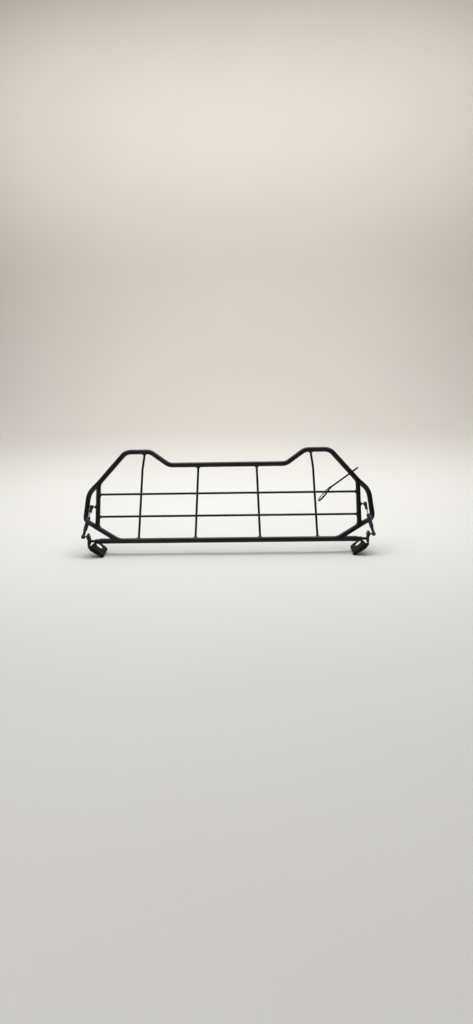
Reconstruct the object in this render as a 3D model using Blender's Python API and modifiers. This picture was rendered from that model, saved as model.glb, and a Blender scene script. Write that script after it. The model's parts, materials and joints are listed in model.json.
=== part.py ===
"""Folding cargo guard grille on two pressed brackets, with a short gas spring at each end.

The grille is a bent outer tube closed by a straight hinge tube, with two side posts, two cross rods
and four upright rods. It folds about a long axle that joins the two brackets. Each gas spring runs
from a ball stud on a bracket's ear to a ball stud on a side post.

Frame: the origin is the middle of the hinge axis, +X runs along the hinge, +Y to the back, +Z up.
The grille is modelled in its own plane: x along the hinge, y through it to the back, z up the
grille. An empty on the hinge axis leans it back.
"""
import math

import bmesh
import bpy
from mathutils import Matrix, Quaternion, Vector

# Whole object, metres and radians
GAP = 0.0003
LEAN = math.radians(23.5)
SIDES = {"left": -1.0, "right": 1.0}
BEND_STEP = math.radians(11.0)
MERGE = 0.00001
BEYOND = 0.001

# Tubes and rods
MAIN_RADIUS = 0.0095
MAIN_WALL = 0.0015
HINGE_RADIUS = 0.010
HINGE_WALL = 0.0015
POST_RADIUS = 0.0088
POST_WALL = 0.0015
POST_INSET = 0.003
ROD_RADIUS = 0.00425
ROD_OFFSET = ROD_RADIUS + GAP / 2
ROD_INSET = 0.001

# Outline of the grille, in its own plane (distance along the hinge, height above the hinge axis)
HINGE_HALF = 0.481
TOP_HEIGHT = 0.2883
DIP_HALF = 0.222
HUMP_HEIGHT = 0.3415
HUMP_INNER = 0.295
HUMP_OUTER = 0.389
POST_X = 0.4905
SHOULDER_HEIGHT = 0.2205
WING_TOP = (0.5360, 0.189)
WING_LOW = (0.5490, 0.085)
KNEE_HEIGHT = 0.050
FOOT_WELD_X = 0.407
WING_BACK = math.radians(36.5)
DIP_BEND = 0.045
HUMP_BEND = 0.042
SHOULDER_BEND = 0.035
WING_BEND = 0.052
CORNER_BEND = 0.022
KNEE_BEND = 0.030

# Infill rods
CROSS_HEIGHTS = {"cross_rod_upper": 0.1768, "cross_rod_lower": 0.0917}
OUTER_UPRIGHT = ((0.3347, 0.0), (0.3245, 0.275), (0.3160, HUMP_HEIGHT))
INNER_UPRIGHT = ((0.1212, 0.0), (0.1108, TOP_HEIGHT))

# Hinge axle, its bushes and caps
AXLE_RADIUS = 0.005
AXLE_HALF = 0.5225
BUSH_DEPTH = 0.022
BUSH_COLLAR = 0.0165
BUSH_COLLAR_RADIUS = 0.0078
CAP_RADIUS = 0.009
CAP_LENGTH = 0.0055
CAP_SKIRT = 0.0015
AXLE_CHAMFER = 0.0008

# Brackets: a cheek across the hinge, a front web and a sloping mounting plate, bent from one sheet
SHEET = 0.003
CHEEK_X = 0.5170
WEB_Y = -0.040
EAR_ARM = 0.027
EAR_ANGLE = math.radians(33.7)
EAR_RADIUS = 0.0130
HINGE_BOSS_RADIUS = 0.0125
CHEEK_LOW = -0.0110
CHEEK_FRONT_TOP = -0.003
CHEEK_LOW_DEPTH = 0.024
RIDGE_OUTER = (0.507, -0.0065)
RIDGE_INNER = (0.4615, -0.0451)
WEB_FOOT = (
    (0.4608, -0.0476),
    (0.4618, -0.0502),
    (0.4650, -0.0517),
    (0.4700, -0.0508),
    (0.5085, -0.0252),
    (0.5125, -0.0195),
)
PLATE_DEPTH = 0.077
PLATE_RISE = math.radians(2.5)
PLATE_TAPER = 0.0085
PLATE_FLARE = 0.0010
PLATE_CORNER = 0.014
PLATE_HOLE_RADIUS = 0.0138
PLATE_HOLE_PLACE = (0.0275, 0.0490)
SHEET_BEND = 0.004

# Ball studs
STUD_SHANK = 0.004
STUD_FLANGE = 0.0075
EAR_FLANGE = 0.0115
EAR_FLANGE_DEPTH = 0.0050
NUT_ACROSS_FLATS = 0.013
STUD_THREAD_END = 0.0015
NUT_HEIGHT = 0.0040
NUT_CHAMFER = 0.0008
STUD_NECK = 0.0028
BALL_RADIUS = 0.005
STUD_CHAMFER = 0.0010
POST_STUD_HEIGHT = 0.130
POST_STUD_ROOT = POST_X + 0.002
POST_STUD_FACE = 0.5008
POST_STUD_STEP = 0.5040
POST_STUD_TIP = 0.5063
EAR_STUD_STEP = 0.5275
UPPER_BALL_X = 0.515
LOWER_BALL_X = 0.538

# Gas springs, measured along the spring from the lower ball's centre
SOCKET_RADIUS = 0.0078
SOCKET_HALF = 0.0060
SOCKET_SHANK = 0.005
LOWER_SOCKET_LENGTH = 0.0250
UPPER_SOCKET_LENGTH = 0.0215
SOCKET_THREAD = 0.0082
CUP_RADIUS = BALL_RADIUS + GAP
CUP_MOUTH = 0.0045
SOCKET_EDGE = 0.0012
COLLAR_RADIUS = 0.0062
COLLAR_LENGTH = 0.0030
COLLAR_EDGE = 0.0008
SHANK_ROOT = 0.0045
CYLINDER_RADIUS = 0.0075
CYLINDER_BORE = 0.0063
CYLINDER_TOP = 0.0785
CYLINDER_FLOOR = 0.0045
CYLINDER_FOOT = 0.0018
RIM_THICKNESS = 0.0012
RIM_HOLE = 0.0052
RIM_RADIUS = 0.0062
NECK_RADIUS = 0.0069
NECK_LENGTH = 0.0040
PISTON_TOP = CYLINDER_TOP - 0.0130
PISTON_DEPTH = 0.0068
GUIDE_LENGTH = 0.008
ROD_END_CHAMFER = 0.0005
ROD_HEAD = 0.0010
ROD_PIN = 0.002
ROD_SPRING_RADIUS = 0.003
CLIP_WIRE = 0.0006
CLIP_OFFSET = 0.002
CLIP_OPENING = math.radians(44.0)

# Cable tie, in the grille's plane: its route runs from the tail's tip through the head, down in
# front of the upper cross rod, round and back up behind it to the head
TIE_RADIUS = 0.0020
TIE_HEAD = (0.3850, -0.0110, 0.1910)
TIE_HEAD_SIZE = (0.0080, 0.0056, 0.0048)
TIE_HEAD_CHAMFER = 0.0006
TIE_ROUTE = (
    (0.4930, -0.0126, 0.2680),
    (0.4400, -0.0122, 0.2298),
    (0.3900, -0.0116, 0.1944),
    (0.3810, -0.0116, 0.1860),
    (0.3750, -0.0116, 0.1760),
    (0.3620, -0.0096, 0.1600),
    (0.3490, -0.0050, 0.1475),
    (0.3420, 0.0000, 0.1445),
    (0.3430, 0.0026, 0.1500),
    (0.3520, 0.0030, 0.1620),
    (0.3640, 0.0026, 0.1760),
    (0.3740, 0.0010, 0.1865),
    (0.3830, -0.0080, 0.1912),
)

COATED = ("powder_black", (0.028, 0.029, 0.032), 0.42, 0.0)
DARK_STEEL = ("dark_steel", (0.10, 0.10, 0.105), 0.34, 0.85)
ZINC = ("zinc_plate", (0.52, 0.53, 0.54), 0.38, 0.9)
CHROME = ("chromed_rod", (0.80, 0.81, 0.82), 0.12, 1.0)
CYLINDER_PAINT = ("cylinder_black", (0.020, 0.022, 0.026), 0.28, 0.0)
NYLON = ("nylon_black", (0.022, 0.022, 0.023), 0.50, 0.0)
RUBBER = ("seal_rubber", (0.015, 0.015, 0.015), 0.70, 0.0)


# Scene helpers

def clear_scene():
    for thing in list(bpy.data.objects):
        bpy.data.objects.remove(thing, do_unlink=True)


def collection(name):
    made = bpy.data.collections.new(name)
    bpy.context.scene.collection.children.link(made)
    return made


def material(finish):
    name, colour, roughness, metallic = finish
    found = bpy.data.materials.get(name)
    if found:
        return found
    made = bpy.data.materials.new(name)
    made.use_nodes = True
    shader = made.node_tree.nodes["Principled BSDF"]
    shader.inputs["Base Color"].default_value = (*colour, 1.0)
    shader.inputs["Roughness"].default_value = roughness
    shader.inputs["Metallic"].default_value = metallic
    return made


def own_material(name, finish):
    made = material(finish).copy()
    made.name = name + "_" + finish[0]
    return made


def place(name, data, parent, finish):
    """A finished part: in the object's collection, under its joint's empty, with its own finish."""
    made = bpy.data.objects.new(name, data)
    PARTS.objects.link(made)
    made.parent = parent
    data.materials.clear()
    data.materials.append(own_material(name, finish))
    return made


def place_cutter(name, data, parent):
    made = bpy.data.objects.new(name, data)
    CUTTERS.objects.link(made)
    made.parent = parent
    made.hide_render = True
    made.display_type = "WIRE"
    return made


def empty(name, matrix):
    made = bpy.data.objects.new(name, None)
    PARTS.objects.link(made)
    made.matrix_world = matrix
    return made


def combine(target, other, operation):
    step = target.modifiers.new(operation.lower() + "_" + other.name, "BOOLEAN")
    step.operation = operation
    step.object = other
    step.solver = "EXACT"


def smooth(mesh, degrees=35.0):
    mesh.shade_smooth()
    mesh.set_sharp_from_angle(angle=math.radians(degrees))


# Shape helpers

def bent_path(corners, radii):
    """Straight runs between the corners, each corner rounded to its bend radius."""
    points = [corners[0]]
    for before, corner, after, radius in zip(corners, corners[1:], corners[2:], radii):
        back = (before - corner).normalized()
        ahead = (after - corner).normalized()
        half_angle = back.angle(ahead) / 2
        centre = corner + (back + ahead).normalized() * (radius / math.sin(half_angle))
        arm = corner + back * (radius / math.tan(half_angle)) - centre
        axis = back.cross(ahead).normalized() * -1.0
        sweep = math.pi - 2 * half_angle
        count = max(2, round(sweep / BEND_STEP))
        points += [centre + Quaternion(axis, sweep * i / count) @ arm for i in range(count + 1)]
    points.append(corners[-1])
    return points


def sweep_mesh(name, points, radius, resolution):
    """A round bar along the points, as a closed mesh."""
    curve = bpy.data.curves.new(name, "CURVE")
    curve.dimensions = "3D"
    curve.bevel_depth = radius
    curve.bevel_resolution = resolution
    curve.use_fill_caps = True
    spline = curve.splines.new("POLY")
    spline.points.add(len(points) - 1)
    for knot, point in zip(spline.points, points):
        knot.co = (*point, 1.0)
    carrier = bpy.data.objects.new(name, curve)
    bpy.context.scene.collection.objects.link(carrier)
    bpy.context.view_layer.update()
    evaluated = carrier.evaluated_get(bpy.context.evaluated_depsgraph_get())
    mesh = bpy.data.meshes.new_from_object(evaluated)
    bpy.data.objects.remove(carrier, do_unlink=True)
    bpy.data.curves.remove(curve)
    shape = bmesh.new()
    shape.from_mesh(mesh)
    bmesh.ops.remove_doubles(shape, verts=shape.verts, dist=MERGE)
    bmesh.ops.recalc_face_normals(shape, faces=shape.faces)
    shape.to_mesh(mesh)
    shape.free()
    smooth(mesh)
    return mesh


def axis_frame(origin, along):
    """A matrix whose +Z points along the given direction."""
    turn = Vector(along).to_track_quat("Z", "Y").to_matrix().to_4x4()
    return Matrix.Translation(origin) @ turn


def turned_mesh(name, profile, steps, frame=Matrix.Identity(4), closed=False):
    """A turned shape: (radius, height) points, spun about the frame's +Z by a Screw modifier."""
    mesh = bpy.data.meshes.new(name)
    points = [(radius, 0.0, height) for radius, height in profile]
    edges = [(i, i + 1) for i in range(len(points) - 1)]
    if closed:
        edges.append((len(points) - 1, 0))
    mesh.from_pydata(points, edges, [])
    carrier = bpy.data.objects.new(name, mesh)
    bpy.context.scene.collection.objects.link(carrier)
    screw = carrier.modifiers.new("turn", "SCREW")
    screw.steps = steps
    screw.render_steps = steps
    screw.use_merge_vertices = True
    screw.merge_threshold = MERGE
    bpy.context.view_layer.update()
    evaluated = carrier.evaluated_get(bpy.context.evaluated_depsgraph_get())
    spun = bpy.data.meshes.new_from_object(evaluated)
    bpy.data.objects.remove(carrier, do_unlink=True)
    bpy.data.meshes.remove(mesh)
    spun.transform(frame)
    spun.name = name
    smooth(spun)
    return spun


def ring_profile(inner, outer, low, high):
    return [(outer, high), (outer, low), (inner, low), (inner, high)]


def bar_profile(radius, low, high):
    return [(0.0, high), (radius, high), (radius, low), (0.0, low)]


def arc_profile(radius, height, start, stop, count):
    """Points of a circle about (0, height), with angles from the +Z axis."""
    angles = [start + (stop - start) * i / count for i in range(count + 1)]
    return [(radius * math.sin(a), height + radius * math.cos(a)) for a in angles]


def smooth_route(points, per_span):
    """Points along a smooth curve through the given points."""
    ends = [2 * points[0] - points[1]] + points + [2 * points[-1] - points[-2]]
    route = []
    for before, start, stop, after in zip(ends, ends[1:], ends[2:], ends[3:]):
        for i in range(per_span):
            t = i / per_span
            slope_in = (stop - before) / 2
            slope_out = (after - start) / 2
            bend = 3 * (stop - start) - 2 * slope_in - slope_out
            twist = 2 * (start - stop) + slope_in + slope_out
            route.append(start + slope_in * t + bend * t ** 2 + twist * t ** 3)
    return route + [points[-1]]


def rounded_outline(corners, radii, step=math.radians(18.0)):
    """A closed flat outline with each corner rounded to its radius."""
    count = len(corners)
    points = []
    for i, (corner, radius) in enumerate(zip(corners, radii)):
        back = (corners[i - 1] - corner).normalized()
        ahead = (corners[(i + 1) % count] - corner).normalized()
        if radius == 0.0:
            points.append(corner)
            continue
        half_angle = back.angle(ahead) / 2
        centre = corner + (back + ahead).normalized() * (radius / math.sin(half_angle))
        arm = corner + back * (radius / math.tan(half_angle)) - centre
        axis = back.cross(ahead).normalized() * -1.0
        sweep = math.pi - 2 * half_angle
        steps = max(2, round(sweep / step))
        points += [centre + Quaternion(axis, sweep * k / steps) @ arm for k in range(steps + 1)]
    return points


# Grille: x along the hinge, y to the back, z up the grille

def wing_point(x, height):
    """A point of the wing, which is bent back about the side post."""
    return Vector((x, math.tan(WING_BACK) * (x - POST_X), height))


def outline_corners():
    """Corner points of the outer tube from its left weld, over the top, to its right weld."""
    right = [
        Vector((DIP_HALF, 0.0, TOP_HEIGHT)),
        Vector((HUMP_INNER, 0.0, HUMP_HEIGHT)),
        Vector((HUMP_OUTER, 0.0, HUMP_HEIGHT)),
        Vector((POST_X, 0.0, SHOULDER_HEIGHT)),
        wing_point(*WING_TOP),
        wing_point(*WING_LOW),
        Vector((POST_X, 0.0, KNEE_HEIGHT)),
        Vector((FOOT_WELD_X, 0.0, 0.0)),
    ]
    left = [Vector((-p.x, p.y, p.z)) for p in reversed(right)]
    return left + right


def outline_path():
    right = [DIP_BEND, HUMP_BEND, HUMP_BEND, SHOULDER_BEND, WING_BEND, CORNER_BEND, KNEE_BEND]
    return bent_path(outline_corners(), list(reversed(right)) + right)


def hinge_tube_cutter():
    frame = axis_frame((0, 0, 0), (1, 0, 0))
    profile = bar_profile(HINGE_RADIUS + GAP, -HINGE_HALF - POST_RADIUS, HINGE_HALF + POST_RADIUS)
    return place_cutter("cut_hinge_tube", turned_mesh("cut_hinge_tube", profile, 32, frame), GRILLE)


def outer_tube_cutter():
    mesh = sweep_mesh("cut_outer_tube", outline_path(), MAIN_RADIUS + GAP, 8)
    return place_cutter("cut_outer_tube", mesh, GRILLE)


def post_cutters():
    made = []
    for side, sign in SIDES.items():
        frame = axis_frame((sign * POST_X, 0, KNEE_HEIGHT), (0, 0, 1))
        profile = bar_profile(POST_RADIUS + GAP, 0.0, SHOULDER_HEIGHT - KNEE_HEIGHT)
        mesh = turned_mesh("cut_post_" + side, profile, 32, frame)
        made.append(place_cutter("cut_post_" + side, mesh, GRILLE))
    return made


def outer_tube(hinge_cutter):
    path = outline_path()
    tube = place("outer_tube", sweep_mesh("outer_tube", path, MAIN_RADIUS, 6), GRILLE, COATED)
    bore = sweep_mesh("bore_outer_tube", path, MAIN_RADIUS - MAIN_WALL, 2)
    combine(tube, place_cutter("bore_outer_tube", bore, GRILLE), "DIFFERENCE")
    combine(tube, hinge_cutter, "DIFFERENCE")


def hinge_tube():
    frame = axis_frame((0, 0, 0), (1, 0, 0))
    profile = ring_profile(HINGE_RADIUS - HINGE_WALL, HINGE_RADIUS, -HINGE_HALF, HINGE_HALF)
    place("hinge_tube", turned_mesh("hinge_tube", profile, 20, frame, closed=True), GRILLE, COATED)


def side_post(side, sign, outer_cutter):
    low = KNEE_HEIGHT + POST_INSET
    high = SHOULDER_HEIGHT - POST_INSET
    frame = axis_frame((sign * POST_X, 0, 0), (0, 0, 1))
    profile = ring_profile(POST_RADIUS - POST_WALL, POST_RADIUS, low, high)
    name = "side_post_" + side
    post = place(name, turned_mesh(name, profile, 18, frame, closed=True), GRILLE, COATED)
    combine(post, outer_cutter, "DIFFERENCE")


def cross_rod(name, height, cutters):
    reach = POST_X - ROD_INSET
    ends = [Vector((x, -ROD_OFFSET, height)) for x in (-reach, reach)]
    rod = place(name, sweep_mesh(name, ends, ROD_RADIUS, 4), GRILLE, COATED)
    for cutter in cutters:
        combine(rod, cutter, "DIFFERENCE")


def upright_rod(name, sign, line, cutters):
    points = [Vector((sign * x, ROD_OFFSET, height)) for x, height in line]
    rod = place(name, sweep_mesh(name, points, ROD_RADIUS, 4), GRILLE, COATED)
    for cutter in cutters:
        combine(rod, cutter, "DIFFERENCE")


def post_stud(side, sign, post_cutter):
    """The welded stud that carries the upper socket, ending just short of it."""
    frame = axis_frame((0, 0, POST_STUD_HEIGHT), (sign, 0, 0))
    profile = [
        (0.0, POST_STUD_TIP),
        (STUD_NECK, POST_STUD_TIP),
        (STUD_NECK, POST_STUD_STEP),
        (STUD_SHANK, POST_STUD_STEP - STUD_CHAMFER),
        (STUD_SHANK, POST_STUD_FACE),
        (STUD_FLANGE, POST_STUD_FACE),
        (STUD_FLANGE, POST_STUD_ROOT),
        (0.0, POST_STUD_ROOT),
    ]
    name = "post_stud_" + side
    stud = place(name, turned_mesh(name, profile, 20, frame), GRILLE, COATED)
    combine(stud, post_cutter, "DIFFERENCE")


def hinge_bush(side, sign):
    frame = axis_frame((0, 0, 0), (sign, 0, 0))
    inner = AXLE_RADIUS + GAP
    outer = HINGE_RADIUS - HINGE_WALL - GAP
    face = HINGE_HALF + GAP
    profile = [
        (inner, face + BUSH_COLLAR),
        (BUSH_COLLAR_RADIUS, face + BUSH_COLLAR),
        (BUSH_COLLAR_RADIUS, face),
        (outer, face),
        (outer, HINGE_HALF - BUSH_DEPTH),
        (inner, HINGE_HALF - BUSH_DEPTH),
    ]
    name = "hinge_bush_" + side
    place(name, turned_mesh(name, profile, 20, frame, closed=True), GRILLE, NYLON)


def tie_head(route):
    """The tie's ratchet head, a small chamfered block in line with the tail."""
    along = (route[1] - route[0]).normalized()
    across = along.cross(Vector((0, 1, 0))).normalized()
    turn = Matrix((along, across, along.cross(across))).transposed().to_4x4()
    shape = bmesh.new()
    bmesh.ops.create_cube(shape, size=1.0)
    bmesh.ops.scale(shape, vec=TIE_HEAD_SIZE, verts=shape.verts)
    bmesh.ops.bevel(shape, geom=shape.edges[:], offset=TIE_HEAD_CHAMFER, segments=1, affect="EDGES")
    bmesh.ops.transform(shape, matrix=Matrix.Translation(TIE_HEAD) @ turn, verts=shape.verts)
    mesh = bpy.data.meshes.new("tie_head")
    shape.to_mesh(mesh)
    shape.free()
    return mesh


def cable_tie():
    """A nylon tie looped round the upper cross rod, its tail lying up across the outer tube."""
    route = smooth_route([Vector(point) for point in TIE_ROUTE], 4)
    tie = place("cable_tie", sweep_mesh("cable_tie", route, TIE_RADIUS, 1), GRILLE, NYLON)
    combine(tie, place_cutter("tie_head", tie_head(route), GRILLE), "UNION")


def build_grille():
    hinge_cutter = hinge_tube_cutter()
    outer_cutter = outer_tube_cutter()
    posts = post_cutters()
    outer_tube(hinge_cutter)
    hinge_tube()
    for name, height in CROSS_HEIGHTS.items():
        cross_rod(name, height, posts)
    for (side, sign), post_cutter in zip(SIDES.items(), posts):
        side_post(side, sign, outer_cutter)
        upright_rod("outer_upright_" + side, sign, OUTER_UPRIGHT, (hinge_cutter, outer_cutter))
        upright_rod("inner_upright_" + side, sign, INNER_UPRIGHT, (hinge_cutter, outer_cutter))
        post_stud(side, sign, post_cutter)
        hinge_bush(side, sign)
    cable_tie()


# Brackets and axle: world directions

def ear_centre():
    return Vector((0.0, -EAR_ARM * math.sin(EAR_ANGLE), EAR_ARM * math.cos(EAR_ANGLE)))


def convex_outline(circles, corners, count=28):
    """The outline round some circles (centre, radius) and corner points, as (y, z) points."""
    points = [tuple(corner) for corner in corners]
    for (y, z), radius in circles:
        for i in range(count):
            angle = 2 * math.pi * i / count
            points.append((y + radius * math.cos(angle), z + radius * math.sin(angle)))
    points = sorted(points)

    def chain(ordered):
        kept = []
        for p in ordered:
            while len(kept) > 1 and turn_of(kept[-2], kept[-1], p) <= 1e-12:
                kept.pop()
            kept.append(p)
        return kept[:-1]

    return chain(points) + chain(reversed(points))


def turn_of(a, b, c):
    return (b[0] - a[0]) * (c[1] - a[1]) - (b[1] - a[1]) * (c[0] - a[0])


def cheek_outline():
    ear = ear_centre()
    circles = [((ear.y, ear.z), EAR_RADIUS), ((0.0, 0.0), HINGE_BOSS_RADIUS)]
    corners = [(WEB_Y, CHEEK_FRONT_TOP), (WEB_Y, CHEEK_LOW), (WEB_Y + CHEEK_LOW_DEPTH, CHEEK_LOW)]
    return [Vector((CHEEK_X, y, z)) for y, z in convex_outline(circles, corners)]


def web_outline():
    """The front web, from the cheek's front edge down along the ridge to the foot."""
    flat = [
        (CHEEK_X, CHEEK_LOW),
        (CHEEK_X, CHEEK_FRONT_TOP),
        RIDGE_OUTER,
        RIDGE_INNER,
        *WEB_FOOT,
    ]
    return [Vector((x, WEB_Y, z)) for x, z in flat]


def plate_directions():
    along = Vector((RIDGE_INNER[0] - RIDGE_OUTER[0], 0.0, RIDGE_INNER[1] - RIDGE_OUTER[1])).normalized()
    back = Vector((0.0, math.cos(PLATE_RISE), math.sin(PLATE_RISE)))
    return along, back


def plate_outline():
    along, back = plate_directions()
    outer = Vector((RIDGE_OUTER[0], WEB_Y, RIDGE_OUTER[1]))
    inner = Vector((RIDGE_INNER[0], WEB_Y, RIDGE_INNER[1]))
    corners = [
        outer,
        inner,
        inner + along * PLATE_FLARE + back * PLATE_DEPTH,
        outer + along * PLATE_TAPER + back * PLATE_DEPTH,
    ]
    return rounded_outline(corners, (0.0, 0.0, PLATE_CORNER, PLATE_CORNER))


def bracket_sheet():
    """The right-hand bracket's mid surface: cheek, web and plate, with its two bends rounded."""
    shape = bmesh.new()
    for outline in (cheek_outline(), web_outline(), plate_outline()):
        shape.faces.new([shape.verts.new(point) for point in outline])
    bmesh.ops.remove_doubles(shape, verts=shape.verts, dist=MERGE)
    bmesh.ops.recalc_face_normals(shape, faces=shape.faces)
    bends = [edge for edge in shape.edges if len(edge.link_faces) == 2]
    bmesh.ops.bevel(shape, geom=bends, offset=SHEET_BEND, segments=3, profile=0.5, affect="EDGES")
    return shape


def plate_hole_centre():
    along, back = plate_directions()
    ridge = Vector((RIDGE_OUTER[0], WEB_Y, RIDGE_OUTER[1]))
    return ridge + along * PLATE_HOLE_PLACE[0] + back * PLATE_HOLE_PLACE[1]


def bracket(side, sign):
    name = "bracket_" + side
    shape = bracket_sheet()
    if sign < 0:
        bmesh.ops.scale(shape, vec=(-1, 1, 1), verts=shape.verts)
        bmesh.ops.reverse_faces(shape, faces=shape.faces)
    mesh = bpy.data.meshes.new(name)
    shape.to_mesh(mesh)
    shape.free()
    plate = place(name, mesh, BRACKETS, COATED)
    wall = plate.modifiers.new("sheet", "SOLIDIFY")
    wall.thickness = SHEET
    wall.offset = 0.0
    wall.use_even_offset = True
    ear = ear_centre()
    along, back = plate_directions()
    normal = along.cross(back)
    centre = plate_hole_centre()
    holes = (
        ("hinge", Vector((CHEEK_X, 0, 0)), Vector((1, 0, 0)), AXLE_RADIUS + GAP),
        ("ear", Vector((CHEEK_X, ear.y, ear.z)), Vector((1, 0, 0)), STUD_SHANK + GAP),
        ("plate", centre, normal, PLATE_HOLE_RADIUS),
    )
    for label, at, axis, radius in holes:
        flip = Vector((sign, 1, 1))
        frame = axis_frame(at * flip, axis * flip)
        cutter_name = "hole_" + label + "_" + side
        mesh = turned_mesh(cutter_name, bar_profile(radius, -2 * SHEET, 2 * SHEET), 24, frame)
        combine(plate, place_cutter(cutter_name, mesh, BRACKETS), "DIFFERENCE")


def hinge_axle():
    frame = axis_frame((0, 0, 0), (1, 0, 0))
    profile = [
        (0.0, AXLE_HALF),
        (AXLE_RADIUS - AXLE_CHAMFER, AXLE_HALF),
        (AXLE_RADIUS, AXLE_HALF - AXLE_CHAMFER),
        (AXLE_RADIUS, -AXLE_HALF + AXLE_CHAMFER),
        (AXLE_RADIUS - AXLE_CHAMFER, -AXLE_HALF),
        (0.0, -AXLE_HALF),
    ]
    place("hinge_axle", turned_mesh("hinge_axle", profile, 20, frame), BRACKETS, DARK_STEEL)


def axle_cap(side, sign):
    """A push-on cap over the axle's end, outside the cheek."""
    frame = axis_frame((0, 0, 0), (sign, 0, 0))
    inner = AXLE_RADIUS + GAP
    low = CHEEK_X + SHEET / 2 + GAP
    high = low + CAP_LENGTH
    floor = AXLE_HALF + GAP
    crown = CAP_RADIUS - CAP_SKIRT
    profile = [
        (0.0, floor),
        (inner, floor),
        (inner, low),
        (CAP_RADIUS, low),
        (CAP_RADIUS, low + CAP_SKIRT),
        (crown, low + CAP_SKIRT),
        (crown, high - CAP_SKIRT),
        (crown - CAP_SKIRT, high),
        (0.0, high),
    ]
    name = "axle_cap_" + side
    place(name, turned_mesh(name, list(reversed(profile)), 20, frame), BRACKETS, ZINC)


def ear_stud(side, sign):
    """A ball stud through the bracket's ear, with a flange outside and a plain end for its nut."""
    frame = axis_frame(ear_centre(), (sign, 0, 0))
    outer = CHEEK_X + SHEET / 2 + GAP
    face = outer + EAR_FLANGE_DEPTH
    end = CHEEK_X - SHEET / 2 - NUT_HEIGHT - STUD_THREAD_END
    neck_angle = math.pi - math.asin(STUD_NECK / BALL_RADIUS)
    profile = arc_profile(BALL_RADIUS, LOWER_BALL_X, 0.0, neck_angle, 7)
    profile += [
        (STUD_NECK, EAR_STUD_STEP),
        (STUD_SHANK, EAR_STUD_STEP - STUD_CHAMFER),
        (STUD_SHANK, face),
        (EAR_FLANGE - STUD_CHAMFER, face),
        (EAR_FLANGE, face - STUD_CHAMFER),
        (EAR_FLANGE, outer),
        (STUD_SHANK, outer),
        (STUD_SHANK, end + STUD_CHAMFER),
        (STUD_SHANK - STUD_CHAMFER, end),
        (0.0, end),
    ]
    name = "ear_stud_" + side
    place(name, turned_mesh(name, profile, 18, frame), BRACKETS, ZINC)


def ear_nut(side, sign):
    """The hexagon nut inside the ear, its corners chamfered."""
    high = CHEEK_X - SHEET / 2 - GAP
    low = high - NUT_HEIGHT
    corner = NUT_ACROSS_FLATS / math.sqrt(3)
    frame = axis_frame(ear_centre(), (sign, 0, 0))
    name = "ear_nut_" + side
    nut = place(name, turned_mesh(name, bar_profile(corner, low, high), 6, frame), BRACKETS, ZINC)
    beyond = corner + NUT_CHAMFER
    chamfer = [
        (0.0, high + NUT_CHAMFER),
        (beyond - 3 * NUT_CHAMFER, high + NUT_CHAMFER),
        (beyond, high - NUT_CHAMFER),
        (beyond, low + NUT_CHAMFER),
        (beyond - 3 * NUT_CHAMFER, low - NUT_CHAMFER),
        (0.0, low - NUT_CHAMFER),
    ]
    rounding = turned_mesh("nut_rounding_" + side, chamfer, 24, frame)
    combine(nut, place_cutter("nut_rounding_" + side, rounding, BRACKETS), "INTERSECT")
    bore = bar_profile(STUD_SHANK + GAP, low - NUT_CHAMFER, high + NUT_CHAMFER)
    bore_mesh = turned_mesh("nut_bore_" + side, bore, 18, frame)
    combine(nut, place_cutter("nut_bore_" + side, bore_mesh, BRACKETS), "DIFFERENCE")


def build_brackets():
    hinge_axle()
    for side, sign in SIDES.items():
        bracket(side, sign)
        axle_cap(side, sign)
        ear_stud(side, sign)
        ear_nut(side, sign)


# Gas springs: z along the spring from the lower ball, x outward along the stud

def spring_frame(sign):
    """Where the spring's lower ball sits, with +Z towards the upper ball and +X outboard."""
    ear = ear_centre()
    low = Vector((sign * LOWER_BALL_X, ear.y, ear.z))
    height = POST_STUD_HEIGHT
    high = Vector((sign * UPPER_BALL_X, height * math.sin(LEAN), height * math.cos(LEAN)))
    axis = (high - low).normalized()
    outward = Vector((sign, 0, 0))
    outward = (outward - axis * outward.dot(axis)).normalized()
    across = axis.cross(outward)
    turn = Matrix((outward, across, axis)).transposed().to_4x4()
    return Matrix.Translation(low) @ turn, (high - low).length


def socket_head(name, height):
    """The round head of a ball socket, its axis across the spring."""
    profile = [
        (0.0, SOCKET_HALF),
        (SOCKET_RADIUS - SOCKET_EDGE, SOCKET_HALF),
        (SOCKET_RADIUS, SOCKET_HALF - SOCKET_EDGE),
        (SOCKET_RADIUS, -SOCKET_HALF + SOCKET_EDGE),
        (SOCKET_RADIUS - SOCKET_EDGE, -SOCKET_HALF),
        (0.0, -SOCKET_HALF),
    ]
    return turned_mesh(name, profile, 22, axis_frame((0, 0, height), (1, 0, 0)))


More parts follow.
